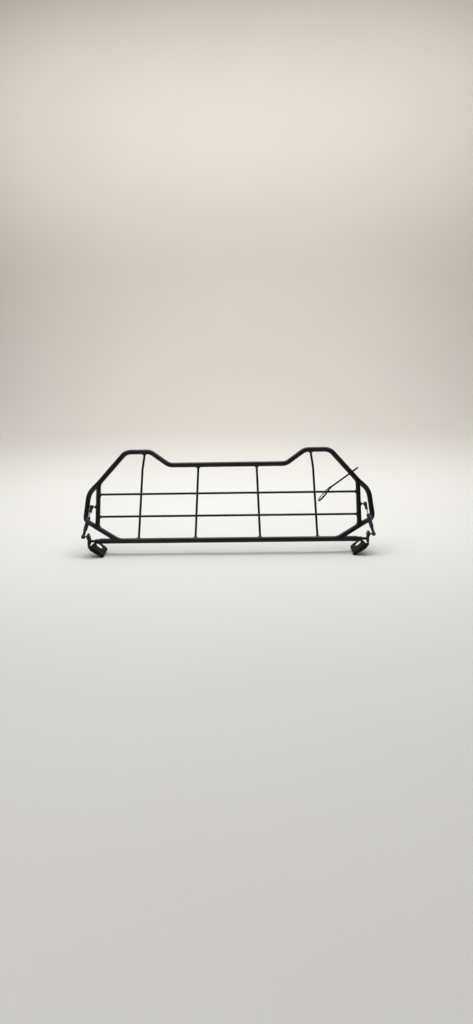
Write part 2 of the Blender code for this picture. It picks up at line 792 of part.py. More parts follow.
def socket(name, height, up, reach, parent):
    """A moulded ball socket: round head, shank with a collar, ball cup and shank bore."""
    body = place(name, socket_head(name, height), parent, NYLON)
    shank = [
        (0.0, reach),
        (COLLAR_RADIUS - COLLAR_EDGE, reach),
        (COLLAR_RADIUS, reach - COLLAR_EDGE),
        (COLLAR_RADIUS, reach - COLLAR_LENGTH),
        (SOCKET_SHANK, reach - COLLAR_LENGTH - COLLAR_EDGE),
        (SOCKET_SHANK, SHANK_ROOT),
        (0.0, SHANK_ROOT),
    ]
    shank_frame = axis_frame((0, 0, height), (0, 0, up))
    shank_mesh = turned_mesh("shank_" + name, shank, 16, shank_frame)
    combine(body, place_cutter("shank_" + name, shank_mesh, parent), "UNION")
    mouth = math.pi - math.asin(CUP_MOUTH / CUP_RADIUS)
    cup = arc_profile(CUP_RADIUS, 0.0, 0.0, mouth, 6)
    cup += [(CUP_MOUTH, -SOCKET_HALF - BEYOND), (0.0, -SOCKET_HALF - BEYOND)]
    cup_mesh = turned_mesh("cup_" + name, cup, 16, axis_frame((0, 0, height), (1, 0, 0)))
    combine(body, place_cutter("cup_" + name, cup_mesh, parent), "DIFFERENCE")
    bore = bar_profile(ROD_SPRING_RADIUS + GAP, reach - SOCKET_THREAD - GAP, reach + BEYOND)
    bore_mesh = turned_mesh("bore_" + name, bore, 16, shank_frame)
    combine(body, place_cutter("bore_" + name, bore_mesh, parent), "DIFFERENCE")


def socket_clip(name, height, up, parent):
    """A spring wire round the socket's head, open at the shank."""
    radius = SOCKET_RADIUS + CLIP_WIRE + GAP
    start = CLIP_OPENING
    stop = 2 * math.pi - CLIP_OPENING
    count = 20
    points = []
    for i in range(count + 1):
        angle = start + (stop - start) * i / count
        across = radius * math.sin(angle)
        points.append(Vector((CLIP_OFFSET, across, height + up * radius * math.cos(angle))))
    place(name, sweep_mesh(name, points, CLIP_WIRE, 1), parent, DARK_STEEL)


def gas_cylinder(name, parent):
    shoulder = LOWER_SOCKET_LENGTH + GAP
    stud_end = LOWER_SOCKET_LENGTH - SOCKET_THREAD
    top = CYLINDER_TOP
    profile = [
        (0.0, shoulder + CYLINDER_FLOOR),
        (CYLINDER_BORE, shoulder + CYLINDER_FLOOR),
        (CYLINDER_BORE, top - RIM_THICKNESS),
        (RIM_HOLE, top - RIM_THICKNESS),
        (RIM_HOLE, top),
        (RIM_RADIUS, top),
        (NECK_RADIUS, top - RIM_THICKNESS),
        (NECK_RADIUS, top - NECK_LENGTH + RIM_THICKNESS),
        (CYLINDER_RADIUS, top - NECK_LENGTH),
        (CYLINDER_RADIUS, shoulder + CYLINDER_FOOT),
        (CYLINDER_RADIUS - CYLINDER_FOOT, shoulder),
        (ROD_SPRING_RADIUS, shoulder),
        (ROD_SPRING_RADIUS, stud_end),
        (0.0, stud_end),
    ]
    place(name, turned_mesh(name, profile, 24), parent, CYLINDER_PAINT)


def rod_guide(name, parent):
    high = CYLINDER_TOP - RIM_THICKNESS - GAP
    low = high - GUIDE_LENGTH
    profile = ring_profile(ROD_SPRING_RADIUS + GAP, CYLINDER_BORE - GAP, low, high)
    place(name, turned_mesh(name, profile, 20, closed=True), parent, RUBBER)


def piston_rod(name, length, parent):
    """The polished rod, stepped down at its foot to hold the piston over a peened head."""
    high = length - UPPER_SOCKET_LENGTH + SOCKET_THREAD
    foot = PISTON_TOP - PISTON_DEPTH
    profile = [
        (0.0, high),
        (ROD_SPRING_RADIUS - ROD_END_CHAMFER, high),
        (ROD_SPRING_RADIUS, high - ROD_END_CHAMFER),
        (ROD_SPRING_RADIUS, PISTON_TOP),
        (ROD_PIN, PISTON_TOP),
        (ROD_PIN, foot),
        (ROD_SPRING_RADIUS, foot),
        (ROD_SPRING_RADIUS, foot - ROD_HEAD),
        (0.0, foot - ROD_HEAD - ROD_END_CHAMFER),
    ]
    place(name, turned_mesh(name, profile, 16), parent, CHROME)


def piston(name, parent):
    low = PISTON_TOP - PISTON_DEPTH + GAP
    profile = ring_profile(ROD_PIN + GAP, CYLINDER_BORE - GAP, low, PISTON_TOP - GAP)
    place(name, turned_mesh(name, profile, 20, closed=True), parent, NYLON)


def build_springs():
    for side, sign in SIDES.items():
        frame, length = spring_frame(sign)
        cylinder_pivot = empty("cylinder_pivot_" + side, frame)
        rod_slide = empty("rod_slide_" + side, frame)
        gas_cylinder("gas_cylinder_" + side, cylinder_pivot)
        socket("lower_socket_" + side, 0.0, 1.0, LOWER_SOCKET_LENGTH, cylinder_pivot)
        socket_clip("lower_clip_" + side, 0.0, 1.0, cylinder_pivot)
        rod_guide("rod_guide_" + side, cylinder_pivot)
        piston_rod("piston_rod_" + side, length, rod_slide)
        piston("piston_" + side, rod_slide)
        socket("upper_socket_" + side, length, -1.0, UPPER_SOCKET_LENGTH, rod_slide)
        socket_clip("upper_clip_" + side, length, -1.0, rod_slide)


clear_scene()
PARTS = collection("folding_cargo_guard")
CUTTERS = collection("cutters")
BRACKETS = empty("bracket_frame", Matrix.Identity(4))
GRILLE = empty("grille_fold", Matrix.Rotation(-LEAN, 4, "X"))
build_brackets()
build_grille()
build_springs()
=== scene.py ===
"""The looks of the folding cargo guard: smooth tubes and rods with their weld beads, edge-rounded
brackets, detailed gas springs, a strap-type cable tie, and a procedural material for each.

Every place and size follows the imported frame: x along the hinge, y to the back, z up, in metres.
The grille's own pieces are drawn in its plane and then leaned back about the hinge axis.
"""
import json
from math import asin, ceil, cos, pi, radians, sin, tan

import bmesh
import bpy
from mathutils import Matrix, Quaternion, Vector, noise
from mathutils.bvhtree import BVHTree
from mathutils.geometry import convex_hull_2d, interpolate_bezier


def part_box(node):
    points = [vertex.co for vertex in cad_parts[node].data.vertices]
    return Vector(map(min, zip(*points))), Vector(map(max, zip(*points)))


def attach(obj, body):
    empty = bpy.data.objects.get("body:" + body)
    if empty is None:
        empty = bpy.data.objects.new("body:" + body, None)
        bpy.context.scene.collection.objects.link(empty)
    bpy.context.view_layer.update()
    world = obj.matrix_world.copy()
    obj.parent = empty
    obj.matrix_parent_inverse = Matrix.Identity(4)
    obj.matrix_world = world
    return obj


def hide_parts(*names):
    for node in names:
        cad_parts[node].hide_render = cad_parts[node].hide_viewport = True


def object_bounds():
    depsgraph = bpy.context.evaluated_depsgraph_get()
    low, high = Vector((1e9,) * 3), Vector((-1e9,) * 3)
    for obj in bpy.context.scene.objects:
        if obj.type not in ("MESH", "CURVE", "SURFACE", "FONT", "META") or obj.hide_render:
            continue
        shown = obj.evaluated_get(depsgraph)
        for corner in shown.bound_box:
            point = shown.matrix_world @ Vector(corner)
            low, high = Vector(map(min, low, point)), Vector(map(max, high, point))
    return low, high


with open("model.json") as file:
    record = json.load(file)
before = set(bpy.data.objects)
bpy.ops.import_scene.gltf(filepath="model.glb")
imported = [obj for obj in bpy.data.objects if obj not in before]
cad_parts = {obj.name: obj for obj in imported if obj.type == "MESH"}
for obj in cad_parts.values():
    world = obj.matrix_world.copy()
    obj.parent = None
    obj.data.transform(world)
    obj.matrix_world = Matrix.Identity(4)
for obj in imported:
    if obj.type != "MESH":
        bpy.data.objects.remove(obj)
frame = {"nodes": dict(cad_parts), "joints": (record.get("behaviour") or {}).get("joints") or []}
CAD_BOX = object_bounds()

# Driving sizes in metres and radians, the part's own where the part has them
SIDES = {"left": -1.0, "right": 1.0}
LEAN = radians(23.5)
GAP = 0.0003
MAIN_RADIUS = 0.0095
HINGE_RADIUS = 0.010
POST_RADIUS = 0.0088
ROD_RADIUS = 0.00425
ROD_OFFSET = ROD_RADIUS + GAP / 2

HINGE_HALF = 0.481
TOP_HEIGHT = 0.2883
DIP_HALF = 0.222
HUMP_HEIGHT = 0.3415
HUMP_INNER = 0.295
HUMP_OUTER = 0.389
POST_X = 0.4905
SHOULDER_HEIGHT = 0.2205
WING_TOP = (0.5360, 0.189)
WING_LOW = (0.5490, 0.085)
KNEE_HEIGHT = 0.050
FOOT_WELD_X = 0.407
WING_BACK = radians(36.5)
BENDS = (0.045, 0.042, 0.042, 0.035, 0.052, 0.022, 0.030)

CROSS_HEIGHTS = {"cross_rod_upper": 0.1768, "cross_rod_lower": 0.0917}
UPRIGHTS = {
    "outer_upright": ((0.3347, 0.0), (0.3245, 0.275), (0.3160, HUMP_HEIGHT)),
    "inner_upright": ((0.1212, 0.0), (0.1108, TOP_HEIGHT)),
}

AXLE_RADIUS = 0.005
TUBE_WALL = 0.0015
BUSH_PLUG_RADIUS = HINGE_RADIUS - 0.0018
BUSH_DEPTH = 0.022
BUSH_COLLAR = 0.0165
BUSH_COLLAR_RADIUS = 0.0078
CAP_RADIUS = 0.009
SHEET = 0.003
CHEEK_X = 0.5170
WEB_Y = -0.040
EAR_RADIUS = 0.0130
HINGE_BOSS_RADIUS = 0.0125
CHEEK_LOW = -0.0110
CHEEK_FRONT_TOP = -0.003
RIDGE_OUTER = (0.507, -0.0065)
RIDGE_INNER = (0.4615, -0.0451)
WEB_FOOT = (
    (0.4608, -0.0476),
    (0.4618, -0.0502),
    (0.4650, -0.0517),
    (0.4700, -0.0508),
    (0.5085, -0.0252),
    (0.5125, -0.0195),
)
PLATE_DEPTH = 0.077
PLATE_RISE = radians(2.5)
PLATE_TAPER = 0.0085
PLATE_FLARE = 0.0010
PLATE_CORNER = 0.014
PLATE_HOLE_RADIUS = 0.0138
PLATE_HOLE_PLACE = (0.0275, 0.0490)
SHEET_BEND = 0.004
SHEET_EDGE = 0.0005

STUD_SHANK = 0.004
STUD_NECK = 0.0028
STUD_FLANGE = 0.0075
EAR_FLANGE = 0.0115
EAR_FLANGE_DEPTH = 0.0050
BALL_RADIUS = 0.005
NUT_FLATS = 0.013
STUD_THREAD_END = 0.0015
NUT_HEIGHT = 0.0040
THREAD_PITCH = 0.00125
THREAD_DEPTH = 0.0006
POST_STUD_HEIGHT = 0.130
POST_STUD_FACE = 0.5008
POST_STUD_STEP = 0.5040
POST_STUD_TIP = 0.5063
EAR_STUD_STEP = 0.5275
STUD_CHAMFER = 0.0010

SOCKET_RADIUS = 0.0078
SOCKET_HALF = 0.0060
SOCKET_SHANK = 0.005
LOWER_SOCKET_LENGTH = 0.0250
UPPER_SOCKET_LENGTH = 0.0215
SOCKET_THREAD = 0.0082
SOCKET_RIB = 0.0005
SOCKET_COLLAR = SOCKET_SHANK + 0.0012
SOCKET_SHANK_LOW = 0.0045
SOCKET_EDGE = 0.0012
CUP_MOUTH = 0.0045
CYLINDER_RADIUS = 0.0075
CYLINDER_TOP = 0.0785
CYLINDER_BORE = 0.0063
CYLINDER_MOUTH = 0.0052
CYLINDER_GROOVE = CYLINDER_RADIUS - 0.0007
PISTON_ROD_RADIUS = 0.003
PISTON_TOP = CYLINDER_TOP - 0.013
PISTON_SEAT = 0.002
CLIP_WIRE = 0.0006

TIE_WIDTH = 0.0062
TIE_THICKNESS = 0.0022
TIE_TAPER = 0.012
TIE_EDGE = 0.0002
TIE_TOOTH = 0.00014
TIE_TOOTH_PITCH = 0.0010
TIE_SLOT_RIM = 0.0011
TIE_SLOT_DEPTH = 0.0010
TIE_HEAD_EDGE = 0.0005
TIE_HEAD = (0.3850, -0.0110, 0.1910)
TIE_HEAD_SIZE = (0.0092, 0.0088, 0.0064)
TIE_ROUTE = (
    (0.4930, -0.0126, 0.2680),
    (0.4400, -0.0122, 0.2298),
    (0.3900, -0.0116, 0.1944),
    (0.3810, -0.0116, 0.1860),
    (0.3750, -0.0116, 0.1760),
    (0.3620, -0.0096, 0.1600),
    (0.3490, -0.0050, 0.1475),
    (0.3420, 0.0000, 0.1445),
    (0.3430, 0.0026, 0.1500),
    (0.3520, 0.0030, 0.1620),
    (0.3640, 0.0026, 0.1760),
    (0.3740, 0.0010, 0.1865),
    (0.3830, -0.0080, 0.1912),
)

FOOT_WELD = 0.0085
POST_WELD = 0.0072
ROD_WELD = 0.0062
UPRIGHT_FOOT_WELD = 0.0072
UPRIGHT_TOP_WELD = 0.0058
STUD_WELD = 0.0016
COPED_DEPTH = 0.0004
WELD_SUNK = 0.0003
WELD_RIPPLE = 0.00007
WELD_RIPPLE_PITCH = 0.0016
WELD_STEP = 0.00045
WELD_HOLLOW = 0.62
NUGGET_REACH = 0.0024
NUGGET_WIDE = 0.0009
NUGGET_HIGH = 0.0010

IDENTITY = Matrix.Identity(4)
GRILLE = Matrix.Rotation(-LEAN, 4, "X")
CAMERA_PLACE = (0.1057, -2.2808, 0.7120)
CAMERA_TURN = (-1.783, 14.85, -1.131)
CAMERA_LENS = 22.5
JOINTS = {joint["name"]: joint for joint in frame["joints"]}


# Procedural materials. Texture space is the shared frame in metres, so a feature's size is real.

def set_inputs(node, values):
    for name, value in values.items():
        node.inputs[name].default_value = value


class Nodes:
    """Short calls that add nodes to one tree."""

    def __init__(self, tree):
        self.tree = tree

    def node(self, kind, values=None, **settings):
        """A node with its settings, and with values on its unlinked inputs."""
        made = self.tree.nodes.new(kind)
        for name, value in settings.items():
            setattr(made, name, value)
        set_inputs(made, values or {})
        return made

    def link(self, source, target):
        self.tree.links.new(source, target)

    def arithmetic(self, operation, first, second):
        made = self.node("ShaderNodeMath", operation=operation)
        self.link(first, made.inputs[0])
        self.link(second, made.inputs[1])
        return made.outputs[0]


class Finish(Nodes):
    """One material, and the nodes that make its colour, roughness and relief."""

    def __init__(self, name, slot, colour, roughness, metallic=0.0, specular=0.5):
        self.material = bpy.data.materials.new(name)
        self.slot = slot
        self.material.use_nodes = True
        super().__init__(self.material.node_tree)
        self.shader = self.tree.nodes["Principled BSDF"]
        look = {"Base Color": (*colour, 1.0), "Roughness": roughness, "Metallic": metallic}
        set_inputs(self.shader, look | {"Specular IOR Level": specular})
        self.place = self.node("ShaderNodeTexCoord").outputs["Object"]
        self.relief = None

    def noise(self, feature, detail, roughness=0.5, stretch=None):
        """Soft noise whose lumps are about `feature` metres across.

        A stretch scales the space along x, y and z, for grain that runs one way.
        """
        values = {"Scale": 1.0 / feature, "Detail": detail, "Roughness": roughness}
        made = self.node("ShaderNodeTexNoise", values)
        mapping = self.node("ShaderNodeMapping", {"Scale": stretch or (1.0, 1.0, 1.0)})
        self.link(self.place, mapping.inputs["Vector"])
        self.link(mapping.outputs["Vector"], made.inputs["Vector"])
        return made.outputs["Fac"]

    def cells(self, feature):
        """Distance to the nearest of scattered points about `feature` metres apart."""
        made = self.node("ShaderNodeTexVoronoi", {"Scale": 1.0 / feature})
        self.link(self.place, made.inputs["Vector"])
        return made.outputs["Distance"]

    def span(self, value, low, high, to_low, to_high):
        """The value, moved from one range to another and kept inside it."""
        values = {"From Min": low, "From Max": high, "To Min": to_low, "To Max": to_high}
        made = self.node("ShaderNodeMapRange", values)
        self.link(value, made.inputs["Value"])
        return made.outputs["Result"]

    def facing_up(self):
        """How far the surface faces up, from 0 to 1."""
        parts = self.node("ShaderNodeSeparateXYZ")
        self.link(self.node("ShaderNodeNewGeometry").outputs["Normal"], parts.inputs[0])
        return self.span(parts.outputs["Z"], 0.1, 0.95, 0.0, 1.0)

    def tint(self, share, colour):
        """A colour mixed over the earlier one by a share from 0 to 1."""
        mix = self.node("ShaderNodeMix", data_type="RGBA")
        base = self.shader.inputs["Base Color"]
        if base.is_linked:
            self.link(base.links[0].from_socket, mix.inputs[6])
        else:
            mix.inputs[6].default_value = base.default_value
        mix.inputs[7].default_value = (*colour, 1.0)
        self.link(share, mix.inputs["Factor"])
        self.link(mix.outputs[2], base)

    def mottle(self, feature, detail, low, high, share, colour, stretch=None, roughness=0.5):
        """Soft patches of a colour where noise goes from low to high."""
        patches = self.noise(feature, detail, roughness, stretch)
        self.tint(self.span(patches, low, high, 0.0, share), colour)

    def roughen(self, feature, detail, low, high):
        """Roughness that wanders between two values."""
        value = self.span(self.noise(feature, detail), 0.3, 0.7, low, high)
        self.link(value, self.shader.inputs["Roughness"])

    def bump(self, height, depth):
        """Relief of a real depth in metres, on top of the relief made before it."""
        made = self.node("ShaderNodeBump", {"Distance": depth, "Strength": 1.0})
        self.link(height, made.inputs["Height"])
        if self.relief:
            self.link(self.relief, made.inputs["Normal"])
        self.relief = made.outputs["Normal"]
        self.link(self.relief, self.shader.inputs["Normal"])

    def grain(self, feature, detail, depth, stretch=None):
        """Relief of soft noise."""
        self.bump(self.noise(feature, detail, stretch=stretch), depth)


def powder_coat():
    """Satin black powder coat: orange peel, faint cloudiness, a few pale specks and settled dust."""
    finish = Finish("powder_coat", "powder_black", (0.0030, 0.0028, 0.0031), 0.32, specular=0.32)
    finish.mottle(0.060, 3.0, 0.35, 0.70, 0.55, (0.0046, 0.0046, 0.0056))
    settled = finish.span(finish.noise(0.004, 5.0, 0.65), 0.45, 0.75, 0.02, 0.14)
    dust = finish.arithmetic("MULTIPLY", finish.facing_up(), settled)
    finish.tint(dust, (0.058, 0.057, 0.055))
    specks = finish.span(finish.cells(0.007), 0.035, 0.055, 0.35, 0.0)
    finish.tint(specks, (0.055, 0.055, 0.055))
    finish.roughen(0.030, 3.0, 0.27, 0.38)
    finish.grain(0.0014, 2.0, 0.00005)
    finish.grain(0.00035, 2.0, 0.000012)
    return finish


def bracket_coat():
    """Duller, browner dip coat on the pressed brackets, lightly scuffed."""
    finish = Finish("dip_coat", "powder_black", (0.0052, 0.0042, 0.0040), 0.60, specular=0.15)
    finish.mottle(0.018, 4.0, 0.40, 0.70, 0.6, (0.0080, 0.0066, 0.0062))
    scuff = (0.020, 0.018, 0.017)
    finish.mottle(0.0030, 5.0, 0.62, 0.78, 0.35, scuff, (1.0, 0.25, 1.0), 0.7)
    finish.roughen(0.010, 3.0, 0.55, 0.70)
    finish.grain(0.0010, 3.0, 0.00003)
    finish.grain(0.00030, 2.0, 0.000012)
    return finish


def weld_coat():
    """The same coat over weld metal, which leaves it thicker, glossier and uneven."""
    colour = (0.0030, 0.0028, 0.0031)
    finish = Finish("powder_coat_over_weld", "powder_black", colour, 0.34, specular=0.30)
    finish.mottle(0.006, 3.0, 0.4, 0.7, 0.6, (0.0055, 0.0056, 0.0070))
    finish.roughen(0.008, 2.0, 0.28, 0.46)
    finish.grain(0.0022, 3.0, 0.00016)
    finish.grain(0.00045, 2.0, 0.00002)
    return finish


def cylinder_paint():
    """Smooth semi-gloss black enamel with a fine peel."""
    finish = Finish("cylinder_enamel", "cylinder_black", (0.017, 0.022, 0.030), 0.26)
    finish.mottle(0.012, 3.0, 0.45, 0.75, 0.5, (0.026, 0.033, 0.043))
    finish.roughen(0.009, 3.0, 0.19, 0.32)
    finish.grain(0.0011, 1.0, 0.000018)
    set_inputs(finish.shader, {"Coat Weight": 0.35, "Coat Roughness": 0.12})
    return finish


def zinc_plate():
    """Satin zinc plating: crystalline mottle, turning marks and a slightly yellowed passivation."""
    finish = Finish("zinc_plating", "zinc_plate", (0.110, 0.105, 0.098), 0.42, 0.9)
    finish.mottle(0.0030, 4.0, 0.40, 0.70, 0.7, (0.070, 0.067, 0.062))
    finish.mottle(0.0110, 2.0, 0.50, 0.72, 0.35, (0.125, 0.104, 0.076))
    finish.roughen(0.0020, 4.0, 0.28, 0.50)
    finish.grain(0.00020, 2.0, 0.000012, (6.0, 0.6, 0.6))
    return finish


def axle_steel():
    """Blackened bar stock: drawn grain along the hinge, a thin film of oil, rubbed lighter patches."""
    finish = Finish("blackened_steel", "dark_steel", (0.030, 0.030, 0.032), 0.33, 0.9)
    finish.mottle(0.0060, 4.0, 0.50, 0.72, 0.8, (0.080, 0.077, 0.075), roughness=0.6)
    finish.roughen(0.0045, 3.0, 0.24, 0.44)
    finish.grain(0.00030, 2.0, 0.000015, (0.08, 1.0, 1.0))
    return finish


def spring_wire():
    """Bright phosphated spring wire for the socket clips."""
    finish = Finish("spring_wire", "dark_steel", (0.13, 0.13, 0.13), 0.36, 0.9)
    finish.mottle(0.0012, 3.0, 0.40, 0.70, 0.7, (0.060, 0.060, 0.062))
    finish.roughen(0.0008, 2.0, 0.28, 0.50)
    finish.grain(0.00015, 2.0, 0.000010)
    return finish


def chrome():
    """Hard chrome: a ground and polished rod with barely visible circumferential lines. Its metallic is
    only 0.55, so a near-white diffuse part is painted reflection that keeps the rod bright.
    """
    # Metallic 0.55 leaves a near-white diffuse part: painted reflection of a bright room on the rod.
    finish = Finish("hard_chrome_painted_reflection", "chromed_rod", (0.92, 0.92, 0.93), 0.20, 0.55)
    finish.mottle(0.0070, 2.0, 0.45, 0.75, 0.5, (0.86, 0.86, 0.88))
    finish.roughen(0.0030, 3.0, 0.16, 0.26)
    finish.grain(0.00012, 2.0, 0.0000025, (0.3, 1.0, 3.0))
    return finish


def nylon():
    """Moulded glass-filled nylon: fine spark-eroded mould texture and flow mottle."""
    finish = Finish("moulded_nylon", "nylon_black", (0.0085, 0.0088, 0.0095), 0.46, specular=0.35)
    finish.mottle(0.0050, 4.0, 0.45, 0.75, 0.6, (0.0150, 0.0152, 0.0160))
    finish.roughen(0.0025, 3.0, 0.38, 0.56)
    finish.bump(finish.cells(0.00030), 0.000018)
    finish.grain(0.0016, 2.0, 0.000020)
    return finish


def strap_nylon():
    """Smooth natural-moulded nylon strap with long flow lines and a waxy sheen."""
    finish = Finish("strap_nylon", "nylon_black", (0.0050, 0.0048, 0.0050), 0.46, specular=0.18)
    finish.mottle(0.0040, 3.0, 0.45, 0.75, 0.6, (0.0090, 0.0088, 0.0090), stretch=(0.4, 1.0, 0.6))
    finish.roughen(0.0030, 2.0, 0.40, 0.55)
    finish.grain(0.00060, 2.0, 0.000012)
    return finish


def seal_rubber():
    """Dull black rubber, slightly chalky where it is not wiped."""
    finish = Finish("seal_rubber_lip", "seal_rubber", (0.010, 0.010, 0.010), 0.68)
    finish.mottle(0.0020, 4.0, 0.50, 0.75, 0.5, (0.028, 0.028, 0.028))
    finish.roughen(0.0015, 3.0, 0.58, 0.78)
    finish.grain(0.00040, 3.0, 0.000025)
    return finish


COAT = powder_coat()
DIP = bracket_coat()
WELD = weld_coat()
ENAMEL = cylinder_paint()
ZINC = zinc_plate()
AXLE = axle_steel()
WIRE = spring_wire()
CHROME_PAINTED_REFLECTION = chrome()
NYLON = nylon()
STRAP = strap_nylon()
RUBBER = seal_rubber()


# Mesh helpers

def join_rings(shape, low, high):
    """Faces between two rings of vertices. A ring of one vertex is a pole."""
    for i in range(max(len(low), len(high))):
        j = (i + 1) % max(len(low), len(high))
        if len(low) == 1:
            shape.faces.new((low[0], high[j], high[i]))
        elif len(high) == 1:
            shape.faces.new((low[i], low[j], high[0]))
        else:
            shape.faces.new((low[i], low[j], high[j], high[i]))


def loft(shape, rings, closed=False):
    """A skin through rings of points, capped at both ends or joined into a loop."""
    loops = [[shape.verts.new(point) for point in ring] for ring in rings]
    for low, high in zip(loops, loops[1:]):
        join_rings(shape, low, high)
    if closed:
        join_rings(shape, loops[-1], loops[0])
        return
    for cap in (loops[0], loops[-1]):
        if len(cap) > 2:
            shape.faces.new(cap)


def polar(radius, angle, height):
    return Vector((radius * cos(angle), radius * sin(angle), height))


def turns(count):
    """The angles that divide a full turn into equal steps."""
    return [2 * pi * i / count for i in range(count)]


def ring(radius, height, steps, matrix):
    """A circle about the matrix's +Z, or its one point where the radius is nothing."""
    if radius < 1e-6:
        return [matrix @ Vector((0.0, 0.0, height))]
    return [matrix @ polar(radius, angle, height) for angle in turns(steps)]


def turned(profile, steps, matrix):
    """The rings of a turned shape about the matrix's +Z, from (radius, height) points."""
    return [ring(radius, height, steps, matrix) for radius, height in profile]


def eased(start, corner, stop, t):
    """A point of the curve that leaves start and reaches stop along the two arms of a corner."""
    return start * (1 - t) ** 2 + corner * 2 * t * (1 - t) + stop * t * t


def rounded_profile(corners, radius, steps=3):
    """A profile whose inner corners are rounded, so that a turned edge catches the light."""
    points = [Vector(corner) for corner in corners]
    made = [points[0]]
    for before, corner, after in zip(points, points[1:], points[2:]):
        back = before - corner
        ahead = after - corner
        reach = min(radius, back.length * 0.45, ahead.length * 0.45)
        start = corner + back.normalized() * reach
        stop = corner + ahead.normalized() * reach
        made += [eased(start, corner, stop, i / steps) for i in range(steps + 1)]
    made.append(points[-1])
    return [(point.x, point.y) for point in made]


def axis_frame(origin, along):
    """A matrix at the origin given, with its +Z along the direction given."""
    return Matrix.Translation(origin) @ Vector(along).to_track_quat("Z", "Y").to_matrix().to_4x4()


def basis(*axes):
    """The turn that takes x, y and z to three directions."""
    return Matrix(axes).transposed().to_4x4()


def outward(sign, origin=(0, 0, 0)):
    """A matrix at the origin given, with its +Z along the hinge and outward on the side given."""
    return axis_frame(origin, (sign, 0, 0))


def path_frames(points, side):
    """A (point, side, up) triple along a path, with no twist between one point and the next."""
    made = []
    last = len(points) - 1
    for i, point in enumerate(points):
        tangent = (points[min(i + 1, last)] - points[max(i - 1, 0)]).normalized()
        side = (side - tangent * side.dot(tangent)).normalized()
        made.append((point, side, tangent.cross(side)))
    return made


def tube_rings(points, radius, sides, side=Vector((0, 1, 0))):
    rings = []
    for point, out, up in path_frames(points, side):
        rings.append([point + (out * cos(a) + up * sin(a)) * radius for a in turns(sides)])
    return rings


def bent_path(corners, radii, step=radians(4.0)):
    """Straight runs between the corners, each corner rounded to its bend radius."""
    points = [corners[0]]
    for before, corner, after, radius in zip(corners, corners[1:], corners[2:], radii):
        back = (before - corner).normalized()
        ahead = (after - corner).normalized()
        half_angle = back.angle(ahead) / 2
        centre = corner + (back + ahead).normalized() * (radius / sin(half_angle))
        arm = corner + back * (radius / tan(half_angle)) - centre
        axis = back.cross(ahead).normalized() * -1.0
        sweep = pi - 2 * half_angle
        count = max(3, round(sweep / step))
        points += [centre + Quaternion(axis, sweep * i / count) @ arm for i in range(count + 1)]
    points.append(corners[-1])
    return points


def spaced(points, most):
    """The path with its long runs divided, so that no step is longer than `most`."""
    made = [points[0]]
    for start, stop in zip(points, points[1:]):
        count = max(1, ceil((stop - start).length / most))
        made += [start.lerp(stop, (i + 1) / count) for i in range(count)]
    return made


def smooth_route(points, per_span):
    """Points along a smooth curve through the given points."""
    ends = [2 * points[0] - points[1]] + points + [2 * points[-1] - points[-2]]
    route = []
    for before, start, stop, after in zip(ends, ends[1:], ends[2:], ends[3:]):
        arms = (start + (stop - before) / 6, stop - (after - start) / 6)
        route += interpolate_bezier(start, *arms, stop, per_span + 1)[:-1]
    return route + [points[-1]]


def plain_mesh(name, shape):
    mesh = bpy.data.meshes.new(name)
    shape.to_mesh(mesh)
    shape.free()
    return mesh


def mesh_of(name, shape, matrix=IDENTITY, crease=40.0):
    """The finished mesh of a shape, with faces out and edges sharper than the crease kept sharp."""
    bmesh.ops.transform(shape, matrix=matrix, verts=shape.verts)
    bmesh.ops.recalc_face_normals(shape, faces=shape.faces)
    mesh = plain_mesh(name, shape)
    mesh.shade_smooth()
    mesh.set_sharp_from_angle(angle=radians(crease))
    return mesh


def lofted(name, rings, closed=False, matrix=IDENTITY, crease=40.0):
    """The mesh of one skin through rings of points."""
    shape = bmesh.new()
    loft(shape, rings, closed)
    return mesh_of(name, shape, matrix, crease)


def drill(radius, low, high, steps, matrix):
    """A cylinder along the matrix's +Z that bores a hole."""
    return lofted("drill", turned([(0, low), (radius, low), (radius, high), (0, high)], steps, matrix))


def placed(name, data):
    """A new object in the scene."""
    made = bpy.data.objects.new(name, data)
    bpy.context.scene.collection.objects.link(made)
    return made


def piece(name, mesh, body, finish, replaces=()):
    """A visible piece that rides on a CAD body and stands for CAD nodes."""
    made = placed(name, mesh)
    mesh.materials.append(finish.material)
    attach(made, body)
    if replaces:
        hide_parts(*replaces)


def turned_piece(name, node, profile, axis, body, finish,
                 rounding=0.0, steps=48, lean=IDENTITY, crease=40.0, closed=False):
    """A piece turned about the axis's +Z, its corners rounded, which stands for one CAD node."""
    if rounding:
        profile = rounded_profile(profile, rounding)
    mesh = lofted(node, turned(profile, steps, axis), closed, lean, crease)
    piece(name, mesh, body, finish, (node,))


def shaped(name, base, steps, sheet=0.0, edge=0.0):
    """The mesh of the base after Boolean steps (operation, mesh).

    An open base is first thickened to a sheet, and its cut edges are rounded last.
    """
    carrier = placed(name, base)
    if sheet:
        wall = carrier.modifiers.new("sheet", "SOLIDIFY")
        wall.thickness = sheet
        wall.offset = 0.0
        wall.use_even_offset = True
    tools = []
    for operation, mesh in steps:
        tool = placed(mesh.name, mesh)
        tools.append(tool)
        step = carrier.modifiers.new(operation, "BOOLEAN")
        step.operation = operation
        step.object = tool
        step.solver = "EXACT"
    if edge:
        rounding = carrier.modifiers.new("edges", "BEVEL")
        rounding.width = edge
        rounding.segments = 3
        rounding.limit_method = "ANGLE"
        rounding.angle_limit = radians(50.0)
    bpy.context.view_layer.update()
    final = carrier.evaluated_get(bpy.context.evaluated_depsgraph_get())
    made = bpy.data.meshes.new_from_object(final)
    made.name = name
    for thing in [carrier] + tools:
        bpy.data.objects.remove(thing, do_unlink=True)
    made.shade_smooth()
    made.set_sharp_from_angle(angle=radians(35.0))
    return made


def tree_of(mesh):
    return BVHTree.FromPolygons([v.co for v in mesh.vertices], [p.vertices for p in mesh.polygons])


# Grille, in its own plane: x along the hinge, y through it to the back, z up the grille

def wing_point(x, height):
    return Vector((x, tan(WING_BACK) * (x - POST_X), height))


